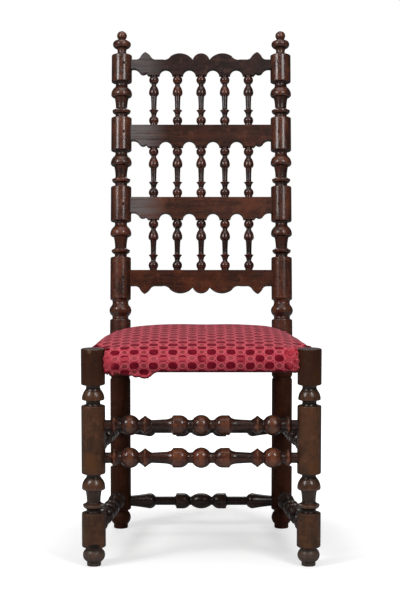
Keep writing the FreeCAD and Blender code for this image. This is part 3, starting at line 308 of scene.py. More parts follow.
# Stretchers. Turned rails with balls, rings and barrels, whose round tenons are bored into the legs.
# The front pair is rubbed red by heels, and the rear and side ones are darker.
STRETCHER_TONES = ((0.034, 0.0086, 0.0048), (0.084, 0.0190, 0.0098),
                   (0.145, 0.0345, 0.0150), (0.42, 0.145, 0.058))
UPPER_TONES = ((0.020, 0.0062, 0.0042), (0.046, 0.0128, 0.0076),
               (0.080, 0.0215, 0.0110), (0.38, 0.130, 0.060))
DARK_TONES = ((0.011, 0.0055, 0.004), (0.026, 0.011, 0.0075),
              (0.045, 0.017, 0.010), (0.09, 0.036, 0.018))
QUARTER = math.pi / 2
ACROSS = (0.0, QUARTER, 0.0)
STRETCHER_RADII = (0.0125, 0.0175, 0.0215)
SIDE_ANGLE = math.atan2(FRONT_LEG_X - BACK_POST_X, BACK_POST_Y - FRONT_LEG_Y)
SIDE_MIDDLE_X = (FRONT_LEG_X + BACK_POST_X) / 2
SIDE_MIDDLE_Y = (FRONT_LEG_Y + BACK_POST_Y) / 2
stretchers = [("front_stretcher_lower", (0.0, FRONT_LEG_Y, 0.2384), ACROSS, STRETCHER_TONES),
              ("front_stretcher_upper", (0.0, FRONT_LEG_Y, 0.3100), ACROSS, UPPER_TONES),
              ("rear_stretcher_lower", (0.0, BACK_POST_Y, 0.0654), ACROSS, DARK_TONES),
              ("rear_stretcher_upper", (0.0, BACK_POST_Y, 0.2410), ACROSS, DARK_TONES)]
for side, sign in (("left", -1), ("right", 1)):
    for level, height in (("lower", 0.078), ("upper", 0.2586)):
        stretchers.append(("side_stretcher_%s_%s" % (level, side),
                           (sign * SIDE_MIDDLE_X, SIDE_MIDDLE_Y, height),
                           (-QUARTER, 0.0, sign * SIDE_ANGLE), DARK_TONES))


def finish_wood(node, name, foot, turn, tones, turned, seed, **finish):
    """Gives a CAD node a wood of its own whose grain runs along the piece's axis."""
    material, tree, shader = new_material(name)
    local = along_axis(tree, foot, turn)
    wood_finish(tree, shader, local, tones, turned, seed, **finish)
    dress(node, material)
    return tree, shader, local


for index, (node, foot, turn, tones) in enumerate(stretchers):
    finish_wood(node, "stretcher_walnut_" + node, foot, turn, tones, STRETCHER_RADII, 2.3 * index,
                rough=0.18, wax=0.80, relief_depth=0.0006, grime_share=0.62)

# Back rails. Four flat boards, sawn to scrolls and arches, tenoned between the back posts. Their
# grain runs across the chair, and the left ends of the upper three are painted greyer in streaks: a
# painted sheen, the reflection of the left soft box.
LEFT_LAMP_SHEEN = (0.138, 0.124, 0.122)
rails = [("crest_rail", 0.65, ((0.012, 0.0065, 0.0058), (0.025, 0.0125, 0.0112),
                               (0.038, 0.0155, 0.0125), (0.11, 0.05, 0.034))),
         ("upper_back_rail", 0.95, ((0.020, 0.0072, 0.0045), (0.046, 0.0145, 0.0085),
                                    (0.068, 0.0185, 0.0095), (0.15, 0.054, 0.026))),
         ("middle_back_rail", 0.90, ((0.032, 0.0115, 0.0070), (0.078, 0.0245, 0.0138),
                                     (0.110, 0.0310, 0.0150), (0.18, 0.066, 0.031))),
         ("bottom_back_rail", 0.0, ((0.022, 0.0074, 0.0038), (0.062, 0.0150, 0.0058),
                                    (0.092, 0.0208, 0.0070), (0.17, 0.058, 0.025)))]
for index, (node, greying, tones) in enumerate(rails):
    tree, shader, local = finish_wood(node, "rail_walnut_" + node, (0.0, 0.0, 0.3 * index), ACROSS, tones,
                                      None, 1.3 * index, rough=0.33, wax=0.20)
    if greying:
        # Painted sheen: greyish streaks at the left ends stand in for the left soft box's reflection.
        fibres = between(tree, grain(tree, local, 0.04, 170.0, 4.0, 0.6), 0.22, 0.56)
        left_end = between(tree, split(tree, on_chair(tree))[0], -0.075, -0.150)
        repaint(tree, shader, times(tree, times(tree, left_end, fibres), greying), LEFT_LAMP_SHEEN)

# Spindles. Fifteen small turnings in three tiers, each pinned into the rail below and above it.
# Their stems are dark with grime and with painted shade, and their balls are rubbed red.
SPINDLE_TONES = ((0.013, 0.0042, 0.0028), (0.038, 0.0092, 0.0056),
                 (0.092, 0.0195, 0.0088), (0.20, 0.054, 0.022))
SPINDLE_RADII = (0.0062, 0.0098, 0.0124)
SPINDLE_SPACING = 0.0576
for tier_index, tier in enumerate(("lower", "middle", "upper")):
    for index in range(5):
        foot = (SPINDLE_SPACING * (index - 2), BACK_POST_Y, BEND_HEIGHT)
        finish_wood("%s_spindle_%d" % (tier, index + 1), "spindle_walnut_%s_%d" % (tier, index + 1), foot,
                    (-RAKE, 0.0, 0.0), SPINDLE_TONES, SPINDLE_RADII, 5.0 * tier_index + 1.7 * index,
                    rough=0.15, wax=0.90, relief_depth=0.0003, grime_share=0.70)

# Pegs. Riven pins driven through the tenons, cut off almost flush and dark with wax.
PEG_TONES = ((0.010, 0.005, 0.0035), (0.024, 0.010, 0.007),
             (0.040, 0.015, 0.009), (0.09, 0.04, 0.025))
for node in ("back_rail_pegs", "seat_rail_pegs"):
    finish_wood(node, "peg_walnut_" + node, (0.0, 0.0, 0.0), (QUARTER, 0.0, 0.0), PEG_TONES, None, 0.7,
                rough=0.35, wax=0.3)

# Seat rails. Plain sawn beech boards under the cover, left unfinished where the cloth hides them.
RAW_TONES = ((0.13, 0.070, 0.032), (0.21, 0.125, 0.062),
             (0.27, 0.155, 0.078), (0.30, 0.18, 0.10))
for index, side in enumerate(("front", "rear", "left", "right")):
    finish_wood("seat_rail_" + side, "seat_rail_beech_" + side, (0.0, 0.0, 0.2 * index),
                ACROSS if side in ("front", "rear") else (-QUARTER, 0.0, 0.0), RAW_TONES, None, 2.0 * index,
                rough=0.5, wax=0.0)

# Webbing. Seven strips of jute web, woven over and under each other across the seat frame and
# nailed down at both ends, with two dark stripes woven along each.
RAIL_TOP = 0.4690
WEB_WIDTH = 0.050
WEB_THICKNESS = 0.0015
WEB_SLOPE = 0.009
LONG_OVERLAP = 0.008
CROSS_OVERLAP = 0.0035
WARP_PITCH = 0.0016
WEFT_PITCH = 0.0024
STRIPE_PLACE = 0.0165
EDGE_WAVER = 0.0003
SEAT_HALF_DEPTH = 0.186935
SEAT_MIDDLE_Y = FRONT_LEG_Y + SEAT_HALF_DEPTH
LONG_PLACES = 0.084 * (np.arange(4) - 1.5)
CROSS_PLACES = 0.092 * (np.arange(3) - 1.0)


def make_mesh(name, points, faces, material, uv=None):
    """A mesh object at the origin from points, quads or triangles, and a UV place for each point."""
    mesh = bpy.data.meshes.new(name)
    mesh.from_pydata(points.tolist(), [], [tuple(face) for face in faces])
    mesh.shade_smooth()
    if uv is not None:
        layer = mesh.uv_layers.new(name="cloth")
        corners = np.empty(len(mesh.loops), np.int32)
        mesh.loops.foreach_get("vertex_index", corners)
        layer.data.foreach_set("uv", np.asarray(uv)[corners].astype(np.float32).ravel())
    mesh.materials.append(material)
    piece = bpy.data.objects.new(name, mesh)
    bpy.context.scene.collection.objects.link(piece)
    return piece


def thicken(piece, thickness, offset):
    """A live wall of cloth thickness."""
    wall = piece.modifiers.new("cloth", "SOLIDIFY")
    wall.thickness = thickness
    wall.offset = offset


def grid_faces(rows, columns):
    """Quads of a grid of points stored row by row, facing up where rows go along X and columns along Y."""
    row, column = np.meshgrid(np.arange(rows - 1), np.arange(columns - 1), indexing="ij")
    corner = row * columns + column
    return np.stack([corner, corner + columns, corner + columns + 1, corner + 1], -1).reshape(-1, 4)


def web_height(along, crossings, over_first):
    """Height of a strip's middle over the rails: it climbs by its thickness over every second crossing."""
    reach = np.abs(along[:, None] - crossings[over_first::2])
    step = np.clip((WEB_WIDTH / 2 + WEB_SLOPE - reach) / WEB_SLOPE, 0.0, 1.0)
    return WEB_THICKNESS * (0.5 + (step * step * (3 - 2 * step)).sum(1))


def pressed(tree, height, strength, depth):
    """The surface's direction once a height is pressed into it."""
    bump = add_node(tree, "ShaderNodeBump", {"Height": height, "Strength": strength, "Distance": depth})
    return bump.outputs[0]


web_material, tree, shader = new_material("jute_webbing")
uv = add_node(tree, "ShaderNodeUVMap", {}, uv_map="cloth").outputs[0]
parts = split(tree, uv)
warp = calc(tree, "SINE", times(tree, parts[1], 2 * math.pi / WARP_PITCH))
weft = calc(tree, "SINE", times(tree, parts[0], 2 * math.pi / WEFT_PITCH))
cloth_thread = calc(tree, "MULTIPLY_ADD", times(tree, warp, weft), 0.5, 0.5)
jute = noise(tree, uv, 160.0, 4.0, 0.6)
jute = blend(tree, jute, (0.19, 0.115, 0.055), (0.34, 0.23, 0.12))
jute = laid(tree, jute, cloth_thread, 0.45, (0.09, 0.052, 0.025))
stripe = calc(tree, "ABSOLUTE", minus(tree, calc(tree, "ABSOLUTE", parts[1]), STRIPE_PLACE))
jute = laid(tree, jute, between(tree, stripe, 0.0024, 0.0014), 0.8, (0.07, 0.02, 0.012))
feed(tree, shader, {"Base Color": jute, "Roughness": 0.92,
                    "Normal": pressed(tree, cloth_thread, 0.7, 0.0004)})

for kind, places, crossings in (("long", LONG_PLACES, CROSS_PLACES), ("cross", CROSS_PLACES, LONG_PLACES)):
    for index, place in enumerate(places):
        half = SEAT_HALF_DEPTH + LONG_OVERLAP
        if kind == "cross":
            half = FRONT_LEG_X - math.tan(SIDE_ANGLE) * (SEAT_HALF_DEPTH + place) + CROSS_OVERLAP
        along = np.linspace(-half, half, 180)
        across = np.linspace(-1.0, 1.0, 11)
        edge = WEB_WIDTH / 2 + EDGE_WAVER * np.sin(along * 190.0 + index)
        side_way = across[None, :] * edge[:, None]
        height = RAIL_TOP + web_height(along, crossings, index % 2 if kind == "long" else 1 - index % 2)
        grid_along = np.broadcast_to(along[:, None], side_way.shape)
        grid_height = np.broadcast_to(height[:, None], side_way.shape)
        if kind == "long":
            points = np.stack([place - side_way, SEAT_MIDDLE_Y + grid_along, grid_height], -1)
        else:
            points = np.stack([grid_along, SEAT_MIDDLE_Y + place + side_way, grid_height], -1)
        strip = make_mesh("webbing_%s_%d" % (kind, index + 1), points.reshape(-1, 3),
                          grid_faces(len(along), len(across)), web_material,
                          np.stack([grid_along, side_way], -1).reshape(-1, 2))
        thicken(strip, 0.0013, 0.0)
        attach(strip, "root")
        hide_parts("seat_webbing")

# Tacks. Blued iron tacks with flat heads, brown with rust.
for node in ("webbing_tacks", "cover_tacks"):
    material, tree, shader = new_material("tack_iron_" + node)
    rust = between(tree, noise(tree, on_chair(tree), 420.0, 4.0, 0.6), 0.45, 0.7)
    iron = blend(tree, rust, (0.05, 0.05, 0.055), (0.11, 0.045, 0.02))
    feed(tree, shader, {"Base Color": iron, "Roughness": calc(tree, "MULTIPLY_ADD", rust, 0.35, 0.4),
                        "Metallic": 0.8})
    dress(node, material)

# Base cloth. Plain linen, cut round the four uprights and tacked over the webbing to carry the
# stuffing.
SIDE_SLOPE = (FRONT_LEG_X - BACK_POST_X) / (BACK_POST_Y - FRONT_LEG_Y)
LEG_AT_SEAT = (FRONT_LEG_X, FRONT_LEG_Y)
POST_AT_SEAT = (BACK_POST_X, BACK_POST_Y + 0.008)
BASE_LEVEL = 0.4725
SIDE_GAP = 0.0115
UPRIGHT_GAP = 0.0085
COVER_REACH = 0.0126
COVER_FRONT = FRONT_LEG_Y - COVER_REACH
COVER_BACK = BACK_POST_Y + 0.00387 + COVER_REACH
LEG_NOTCH = 0.0257
POST_NOTCH = 0.0255
LINEN_INSET = 0.0070


def half_width(y):
    """Half of the seat's width at a depth: the seat rails' outer faces and the cloth."""
    return FRONT_LEG_X - SIDE_SLOPE * (y - FRONT_LEG_Y) + COVER_REACH / math.cos(SIDE_ANGLE)


def straight(first, last, count):
    """Points evenly spaced from the first to just before the last."""
    share = np.linspace(0.0, 1.0, count, endpoint=False)[:, None]
    return np.array(first) * (1 - share) + np.array(last) * share


def notch(centre, radius, first, last, count):
    """Points along a circle from the first point's angle to just before the last's, the short way."""
    start = math.atan2(first[1] - centre[1], first[0] - centre[0])
    stop = math.atan2(last[1] - centre[1], last[0] - centre[0])
    way = (stop - start + math.pi) % (2 * math.pi) - math.pi
    angle = start + way * np.linspace(0.0, 1.0, count, endpoint=False)
    return np.stack([centre[0] + radius * np.cos(angle), centre[1] + radius * np.sin(angle)], 1)


def seat_outline():
    """The seat's edge in plan, closed and counter-clockwise: four sides, and hollow arcs round the
    four uprights. Also 1 for each point on an arc and 0 for the rest."""
    front_x = FRONT_LEG_X - math.sqrt(LEG_NOTCH ** 2 - COVER_REACH ** 2)
    rear_x = BACK_POST_X - math.sqrt(POST_NOTCH ** 2 - (COVER_BACK - POST_AT_SEAT[1]) ** 2)
    side = np.array([half_width(COVER_BACK) - half_width(COVER_FRONT), COVER_BACK - COVER_FRONT])
    side /= np.linalg.norm(side)

    def on_side(centre, radius, forward):
        """Where the side line crosses the circle, on its forward or rear half."""
        start = np.array([half_width(centre[1]), centre[1]])
        gap = start - np.array(centre)
        along = -gap @ side
        across = gap + side * along
        return start + side * (along + forward * math.sqrt(radius ** 2 - across @ across))

    low = on_side(LEG_AT_SEAT, LEG_NOTCH, 1)
    high = on_side(POST_AT_SEAT, POST_NOTCH, -1)
    runs = [straight((0.0, COVER_FRONT), (front_x, COVER_FRONT), 72),
            notch(LEG_AT_SEAT, LEG_NOTCH, (front_x, COVER_FRONT), low, 26),
            straight(low, high, 92),
            notch(POST_AT_SEAT, POST_NOTCH, high, (rear_x, COVER_BACK), 24),
            straight((rear_x, COVER_BACK), (0.0, COVER_BACK), 50)]
    hollow = np.concatenate([np.full(len(run), float(index % 2)) for index, run in enumerate(runs)])
    right = np.concatenate(runs)
    left = right[:0:-1] * np.array([-1.0, 1.0])
    loop = np.concatenate([right, [[0.0, COVER_BACK]], left])
    return loop, np.concatenate([hollow, [0.0], hollow[:0:-1]])


def smooth_loop(loop, rounds):
    """Draws each point of a closed loop halfway to the middle of its neighbours, several times."""
    for _ in range(rounds):
        loop = loop * 0.5 + (np.roll(loop, 1, 0) + np.roll(loop, -1, 0)) * 0.25
    return loop


def outward_of(loop):
    """Unit vectors square to a closed counter-clockwise loop, pointing out of it."""
    ahead = np.roll(loop, -1, 0) - np.roll(loop, 1, 0)
    out = smooth_loop(np.stack([ahead[:, 1], -ahead[:, 0]], 1) / np.linalg.norm(ahead, axis=1)[:, None], 5)
    return out / np.linalg.norm(out, axis=1)[:, None]


def drawn_in(way_in, gap):
    """The outline moved inwards, and kept a gap inside the slanting sides where it turns a corner."""
    line = edge - outward * way_in[:, None]
    limit = half_width(line[:, 1]) - gap
    return np.column_stack([np.clip(line[:, 0], -limit, limit), line[:, 1]])


def faded(values, shares):
    """What holds round the edge, at each share of the way out: its n-th wave is kept times that share
    to the power n, so the hollows fade towards the middle without a crease."""
    order = np.abs(np.fft.fftfreq(len(values), 1.0 / len(values)))
    return np.fft.ifft(np.fft.fft(values) * shares[:, None] ** order, axis=1)


def fill_rings(loop, shares):
    """Rings inside a closed loop, at the given shares of the way out."""
    rings = faded(loop[:, 0] + 1j * loop[:, 1], shares)
    return np.stack([rings.real, rings.imag], -1)


def ring_faces(rings, count):
    """Quads between neighbouring closed rings of equal count, facing up where the rings grow."""
    ring, step = np.meshgrid(np.arange(rings - 1), np.arange(count), indexing="ij")
    following = (step + 1) % count
    low, high = ring * count, (ring + 1) * count
    return np.stack([low + step, high + step, high + following, low + following], -1).reshape(-1, 4)


def disc_mesh(name, rings, middle, material, uv=None, middle_uv=None):
    """A sheet from nested rings with a fan of triangles round its middle point."""
    count = rings.shape[1]
    points = np.vstack([rings.reshape(-1, 3), [middle]])
    faces = ring_faces(len(rings), count).tolist()
    faces += [(len(points) - 1, step, (step + 1) % count) for step in range(count)]
    if uv is not None:
        uv = np.vstack([uv.reshape(-1, 2), [middle_uv]])
    return make_mesh(name, points, faces, material, uv)


edge, in_hollow = seat_outline()
edge = smooth_loop(edge, 3)
outward = outward_of(edge)
hollow_share = np.clip(smooth_loop(in_hollow, 14) * 1.25, 0.0, 1.0)
near_upright = np.clip(smooth_loop(in_hollow, 220) * 5.0, 0.0, 1.0)
front_share = smooth_loop((edge[:, 1] < COVER_FRONT + 0.002) * 1.0, 30)
ring_shares = 1 - (1 - np.linspace(0.03, 1.0, 46)) ** 1.4

linen, tree, shader = new_material("base_linen")
waves = {"Vector": on_chair(tree), "Scale": 260.0, "Distortion": 1.5}
thread = times(tree, *[add_node(tree, "ShaderNodeTexWave", waves, bands_direction=way).outputs[1]
                       for way in ("X", "Y")])
flax = blend(tree, thread, (0.26, 0.19, 0.11), (0.44, 0.36, 0.23))
feed(tree, shader, {"Base Color": flax, "Roughness": 0.9, "Normal": pressed(tree, thread, 0.5, 0.0005)})
rings = fill_rings(drawn_in(LINEN_INSET + UPRIGHT_GAP * near_upright, SIDE_GAP), ring_shares[::3])
ripple = BASE_LEVEL + 0.00012 * np.sin(rings[..., 0] * 130.0) * np.sin(rings[..., 1] * 110.0)
base_cloth = disc_mesh("base_linen_cloth", np.dstack([rings, ripple]), (*edge.mean(0), BASE_LEVEL), linen)
thicken(base_cloth, 0.0007, 0.0)
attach(base_cloth, "root")
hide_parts("seat_base_cloth")

# Stuffing. A pad of curled hair and tow heaped on the base cloth, highest in the middle and worked
# to a firm rounded edge over the front rail.
CROWN_PLACES = (0.0085, 0.0200, 0.0340, 0.0520, 0.0760, 0.110, 0.150, 0.190, 0.230, 0.270, 0.310, 0.345,
                0.372, 0.390)
CROWN_HEIGHTS = (0.4800, 0.4853, 0.4897, 0.4935, 0.4968, 0.5005, 0.5035, 0.5055, 0.5062, 0.5050, 0.5020,
                 0.4975, 0.4910, 0.4820)
SIDE_PLACES = (0.0, 0.02, 0.05, 0.10, 0.18, 0.25, 0.30, 0.36, 0.39)
SIDE_HEIGHTS = (0.4728, 0.4784, 0.4815, 0.4853, 0.4885, 0.4874, 0.4842, 0.4800, 0.4760)
SHOULDER = 0.0150
PAD_FOOT = 0.47305
PAD_LEAST_TOP = 0.4738
PAD_UNDER_COVER = 0.0042
PAD_INSET = 0.0090
PAD_ROUNDING = 0.0050
LUMP = 0.0016
SLUMP = 0.0045
LEG_DIP = 0.0065
POST_DIP = 0.0030


def eased(place, places, heights):
    """A line through the given heights, rounded by averaging it over 18 mm."""
    offsets = np.linspace(-0.009, 0.009, 13)
    return sum(np.interp(place + offset, places, heights) for offset in offsets) / len(offsets)


def lumps(x, y, size, seed):
    """A gentle unevenness from -1 to 1: the mean of nine slanted waves about as long as the size."""
    draw = np.random.default_rng(seed)
    total = np.zeros(np.broadcast(x, y).shape)
    for _ in range(9):
        angle, phase = draw.uniform(0, 2 * math.pi), draw.uniform(0, 2 * math.pi)
        wave = draw.uniform(0.7, 1.6) * size
        total += np.sin((x * math.cos(angle) + y * math.sin(angle)) * 2 * math.pi / wave + phase)
    return total / 9


def seat_height(x, y):
    """Height of the seat: the side's height, and what the middle line stands over it times one minus
    the share of the way to the side to the power 5. The right side has slumped."""
    place = y - COVER_FRONT
    share = np.clip(np.abs(x) / (half_width(y) - SHOULDER), 0.0, 1.0)
    side_height = eased(place, SIDE_PLACES, SIDE_HEIGHTS)
    crown = eased(place, CROWN_PLACES, CROWN_HEIGHTS)
    slump = np.clip((x - 0.15) / 0.06, 0.0, 1.0) ** 1.5 * np.clip((place - 0.05) / 0.08, 0.0, 1.0)
    height = side_height + (crown - side_height) * (1 - share ** 5)
    return height + LUMP * lumps(x, y, 0.11, 4) - SLUMP * slump


def drawn_down(shares):
    """How far the cloth is pulled down round the uprights, fading towards the middle."""
    place = edge[:, 1] - COVER_FRONT
    depth = hollow_share * np.where(place < 0.2, LEG_DIP * np.clip(place / 0.022, 0, 1), POST_DIP)
    return faded(depth, shares).real


tow, tree, shader = new_material("hair_and_tow")
curl = noise(tree, on_chair(tree), 240.0, 6.0, 0.75, 3.5)
hair = between(tree, curl, 0.35, 0.65)
hair = blend(tree, hair, (0.10, 0.062, 0.034), (0.36, 0.26, 0.15))
feed(tree, shader, {"Base Color": hair, "Roughness": 0.95, "Normal": pressed(tree, curl, 0.9, 0.002)})
pad_inset = 0.0165 + PAD_ROUNDING * (1 - hollow_share) * (1 - 2.1 * front_share)
rings = fill_rings(drawn_in(pad_inset, SIDE_GAP + 0.001), ring_shares)
top_rings = seat_height(rings[..., 0], rings[..., 1]) - drawn_down(ring_shares) - PAD_UNDER_COVER
top_rings = top_rings - 0.0035 * near_upright * ring_shares[:, None] ** 8
top_rings = np.dstack([rings, np.maximum(top_rings, PAD_LEAST_TOP)])
low_edge = drawn_in(PAD_INSET + UPRIGHT_GAP * near_upright, SIDE_GAP)
share = np.linspace(0.0, 1.0, 9)[1:, None, None]
corner = np.column_stack([low_edge, np.clip(top_rings[-1][:, 2] - 0.003, 0.4735, 0.480)])
foot_ring = np.column_stack([low_edge - outward * 0.002, np.full(len(edge), PAD_FOOT)])
side_rings = top_rings[-1] * (1 - share) ** 2 + corner * 2 * share * (1 - share) + foot_ring * share ** 2
below = fill_rings(foot_ring[:, :2], ring_shares[::-3][1:])
below = np.dstack([below, np.full(below.shape[:2], PAD_FOOT)])
pad_rings = np.concatenate([top_rings, side_rings, below])
count = len(edge)
middle = edge.mean(0)
middle_top = float(seat_height(*middle)) - PAD_UNDER_COVER
points = np.vstack([pad_rings.reshape(-1, 3), [(*middle, middle_top), (*middle, PAD_FOOT)]])
faces = ring_faces(len(pad_rings), count).tolist()
last = (len(pad_rings) - 1) * count
faces += [(len(points) - 2, step, (step + 1) % count) for step in range(count)]
faces += [(len(points) - 1, last + (step + 1) % count, last + step) for step in range(count)]
padding = make_mesh("seat_padding", points, faces, tow)
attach(padding, "root")
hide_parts("seat_stuffing")

# Cover. One cloth of cut velvet, drawn over the stuffing, cut round the legs and posts, and tacked
# under the seat rails. Crimson discs of pile in chequered rows, small brown discs between them and a
# pale lattice stand on a rose ground. The front edge is rubbed bald, its hem hangs torn at the left,
# and the right corner has frayed: its red threads carry pale glints, a painted highlight. The lowest
# few millimetres of the edge are painted dark, a painted shade.
HEM = 0.4280
DISC_SPACING = 0.0417
ROW_STEP = 0.0160
DISC_PLACE = 0.0013
ROW_ARCS = (0.0, 0.0180, 0.0350, 0.0487, 0.4863)
ROW_COUNTS = (-1.06, 0.0, 1.0, 2.0, 33.7)
TEAR_PLACES = (-0.205, -0.192, -0.181, -0.172, -0.160, -0.150, -0.143, -0.136, -0.127, -0.117, -0.112,
               -0.104, -0.093)
TEAR_DROPS = (0.003, 0.0050, 0.0025, 0.005, 0.0055, 0.0080, 0.0110, 0.0100, 0.0140, 0.0130, 0.0095,
              0.0040, 0.0)
ROSE_GROUND = ((0.440, 0.0250, 0.0485), (0.54, 0.047, 0.075))
PALE_LATTICE = (0.63, 0.156, 0.182)
BROWN_DISC = (0.248, 0.042, 0.045)
CRIMSON_PILE = ((0.120, 0.0010, 0.0085), (0.230, 0.0032, 0.0190))
WORN_ROSE = (0.68, 0.120, 0.152)
FADED_ROSE = (0.50, 0.048, 0.070)
FADED_CORNER = ((-0.213, -0.270, 0.452), (0.030, 0.05, 0.026))
FRAYED_CORNER = ((0.203, -0.268, 0.466), (0.027, 0.030, 0.036))
FRAYED_RED = (0.42, 0.012, 0.030)
# Red frayed threads, and a pale pink that is a painted highlight on them.
THREADS_AND_GLINTS = ((0.72, 0.050, 0.082), (0.95, 0.38, 0.39))
HEM_SHADE = (0.060, 0.008, 0.010)
LEAST_HEIGHT = 0.4772
NOTCH_INSET = 0.0055
LIP_HEIGHT = 0.4270
HEM_TO_CROWN = 0.0632
SLOPE_STEP = 0.008
BELLY_HEIGHT = 0.462
TUCK_REACH = 0.026
CORNER_FOLD_SPACING = 0.0175
UPRIGHT_TUCKS = ((*LEG_AT_SEAT, 0.0252, 9.0, 0.0016), (*POST_AT_SEAT, 0.0250, 8.0, 0.0011))


def velvet():
    """Cut velvet in the cloth's own coordinates. A disc is where the sum of the powers of its two
    shares, across and along, stays under one. Wear bares the middles of the discs on the front edge,
    and the lowest few millimetres are painted dark, a painted shade where the cloth turns under. The
    frayed corner's threads carry pale glints, a painted highlight."""
    material, tree, shader = new_material("cut_velvet")
    uv = add_node(tree, "ShaderNodeUVMap", {}, uv_map="cloth").outputs[0]

    def strayed(scale, detail, reach):
        """A shift along the cloth from noise, up to half the reach either way."""
        node = add_node(tree, "ShaderNodeTexNoise", {"Vector": uv, "Scale": scale, "Detail": detail})
        return move(tree, "MULTIPLY", move(tree, "SUBTRACT", node.outputs[1], (0.5, 0.5, 0.5)), reach)

    wander = strayed(26.0, 2.0, (0.0040, 0.0052, 0.0))
    frayed = strayed(520.0, 3.0, (0.0022, 0.0022, 0.0))
    moved = split(tree, move(tree, "ADD", move(tree, "ADD", wander, uv), frayed))
    row_place = calc(tree, "ADD", calc(tree, "DIVIDE", moved[1], ROW_STEP), 0.5)
    odd = calc(tree, "FLOORED_MODULO", calc(tree, "FLOOR", row_place), 2.0)
    column = calc(tree, "DIVIDE", minus(tree, moved[0], DISC_PLACE), DISC_SPACING)
    column = calc(tree, "ADD", column, times(tree, odd, 0.5))
    across = times(tree, minus(tree, calc(tree, "FRACT", column), 0.5), DISC_SPACING)
    up = times(tree, minus(tree, calc(tree, "FRACT", row_place), 0.5), ROW_STEP)
    beside = minus(tree, DISC_SPACING / 2, calc(tree, "ABSOLUTE", across))

    def disc(x, half_x, half_y, power):
        """A rounded square: 1 on its edge, less inside."""
        powers = [calc(tree, "POWER", calc(tree, "DIVIDE", calc(tree, "ABSOLUTE", way), half), power)
                  for way, half in ((x, half_x), (up, half_y))]
        return calc(tree, "POWER", calc(tree, "ADD", *powers), 1.0 / power)

    def line_at(value, place, width):
        """1 where the value is at the place, falling to 0 within the width."""
        return between(tree, calc(tree, "ABSOLUTE", minus(tree, value, place)), width, width * 0.3)

    large = disc(across, 0.0099, 0.0075, 2.7)
    small = disc(beside, 0.0052, 0.0045, 2.0)
    cloud = noise(tree, uv, 24.0, 4.0, 0.6)
    fine = noise(tree, move(tree, "MULTIPLY", uv, (1.0, 0.3, 1.0)), 2400.0, 2.0, 0.6)
    colour = blend(tree, between(tree, cloud, 0.35, 0.7), *ROSE_GROUND)
    line = calc(tree, "MAXIMUM", line_at(large, 1.17, 0.13), line_at(small, 1.36, 0.30))
    colour = laid(tree, colour, line, 0.7, PALE_LATTICE)
    colour = laid(tree, colour, between(tree, small, 1.08, 0.85), 0.85, BROWN_DISC)
    face = split(tree, uv)
    rim_row = calc(tree, "ABSOLUTE", minus(tree, calc(tree, "DIVIDE", face[1], ROW_STEP), 1.02))
    blotch = between(tree, noise(tree, uv, 13.0, 2.0, 0.5), 0.36, 0.46)
    worn = times(tree, between(tree, rim_row, 0.62, 0.30), blotch)
    worn = times(tree, worn, between(tree, face[0], 0.125, 0.065))
    patchy = noise(tree, move(tree, "MULTIPLY", uv, (0.6, 2.0, 1.0)), 150.0, 3.0, 0.6)
    scrubbed = calc(tree, "MULTIPLY_ADD", minus(tree, patchy, 0.5), 0.004, up)
    middle = times(tree, between(tree, scrubbed, 0.0042, 0.0022), between(tree, scrubbed, -0.0068, -0.0040))
    kept = minus(tree, 1.0, times(tree, times(tree, worn, middle), 0.9))
    pile = times(tree, between(tree, large, 1.06, 0.94), kept)
    tone = noise(tree, uv, 90.0, 4.0, 0.65)
    crimson = blend(tree, between(tree, tone, 0.3, 0.72), *CRIMSON_PILE)
    colour = blend(tree, pile, colour, crimson)
    colour = laid(tree, colour, worn, times(tree, 0.35, minus(tree, 1.0, pile)), WORN_ROSE)
    colour = laid(tree, colour, between(tree, egg(tree, *FADED_CORNER), 1.1, 0.5), 0.75, FADED_ROSE)
    place = on_chair(tree)
    # Frayed corner: red threads in streaks, some turned pale pink as painted glints, a painted highlight.
    corner = between(tree, egg(tree, *FRAYED_CORNER), 1.15, 0.7)
    torn = times(tree, corner, between(tree, grain(tree, place, 0.45, 260.0, 5.0, 0.75, 2.0), 0.47, 0.58))
    thread = between(tree, noise(tree, place, 420.0, 3.0, 0.7, 1.0), 0.5, 0.66)
    colour = laid(tree, colour, corner, 0.45, FRAYED_RED)
    colour = blend(tree, torn, colour, blend(tree, thread, *THREADS_AND_GLINTS))
    # Painted shade: the colour darkens over the lowest few millimetres above the hem.
    above_hem = add_node(tree, "ShaderNodeAttribute", {}, attribute_name="above_hem").outputs["Fac"]
    above_hem = calc(tree, "MULTIPLY_ADD", minus(tree, tone, 0.5), 0.003, above_hem)
    colour = laid(tree, colour, between(tree, above_hem, 0.0046, 0.0024), 0.85, HEM_SHADE)
    shade = calc(tree, "MULTIPLY_ADD", fine, 0.5, 0.75)
    grey = add_node(tree, "ShaderNodeCombineColor", {0: shade, 1: shade, 2: shade}).outputs[0]
    colour = blend(tree, 1.0, colour, grey, "MULTIPLY")
    relief = calc(tree, "MULTIPLY_ADD", fine, 0.35, pile)
    relief = calc(tree, "MULTIPLY_ADD", torn, 0.8, relief)
    feed(tree, shader, {"Base Color": colour, "Roughness": 0.75, "Specular IOR Level": 0.1,
                        "Sheen Weight": 0.24, "Sheen Roughness": 0.4, "Sheen Tint": (1.0, 0.52, 0.60),
                        "Normal": pressed(tree, relief, 0.6, 0.0007)})
    return material


def middle_arc(place):
    """Length along the cloth from the front hem up and back to a distance behind the front line."""
    places = np.linspace(CROWN_PLACES[0], CROWN_PLACES[-1], 400)
    heights = eased(places, CROWN_PLACES, CROWN_HEIGHTS)
    arcs = HEM_TO_CROWN + np.concatenate([[0.0], np.cumsum(np.hypot(np.diff(places), np.diff(heights)))])
    beyond = np.minimum(place - places[0], 0.0) + np.maximum(place - places[-1], 0.0)
    return np.interp(place, places, arcs) + beyond


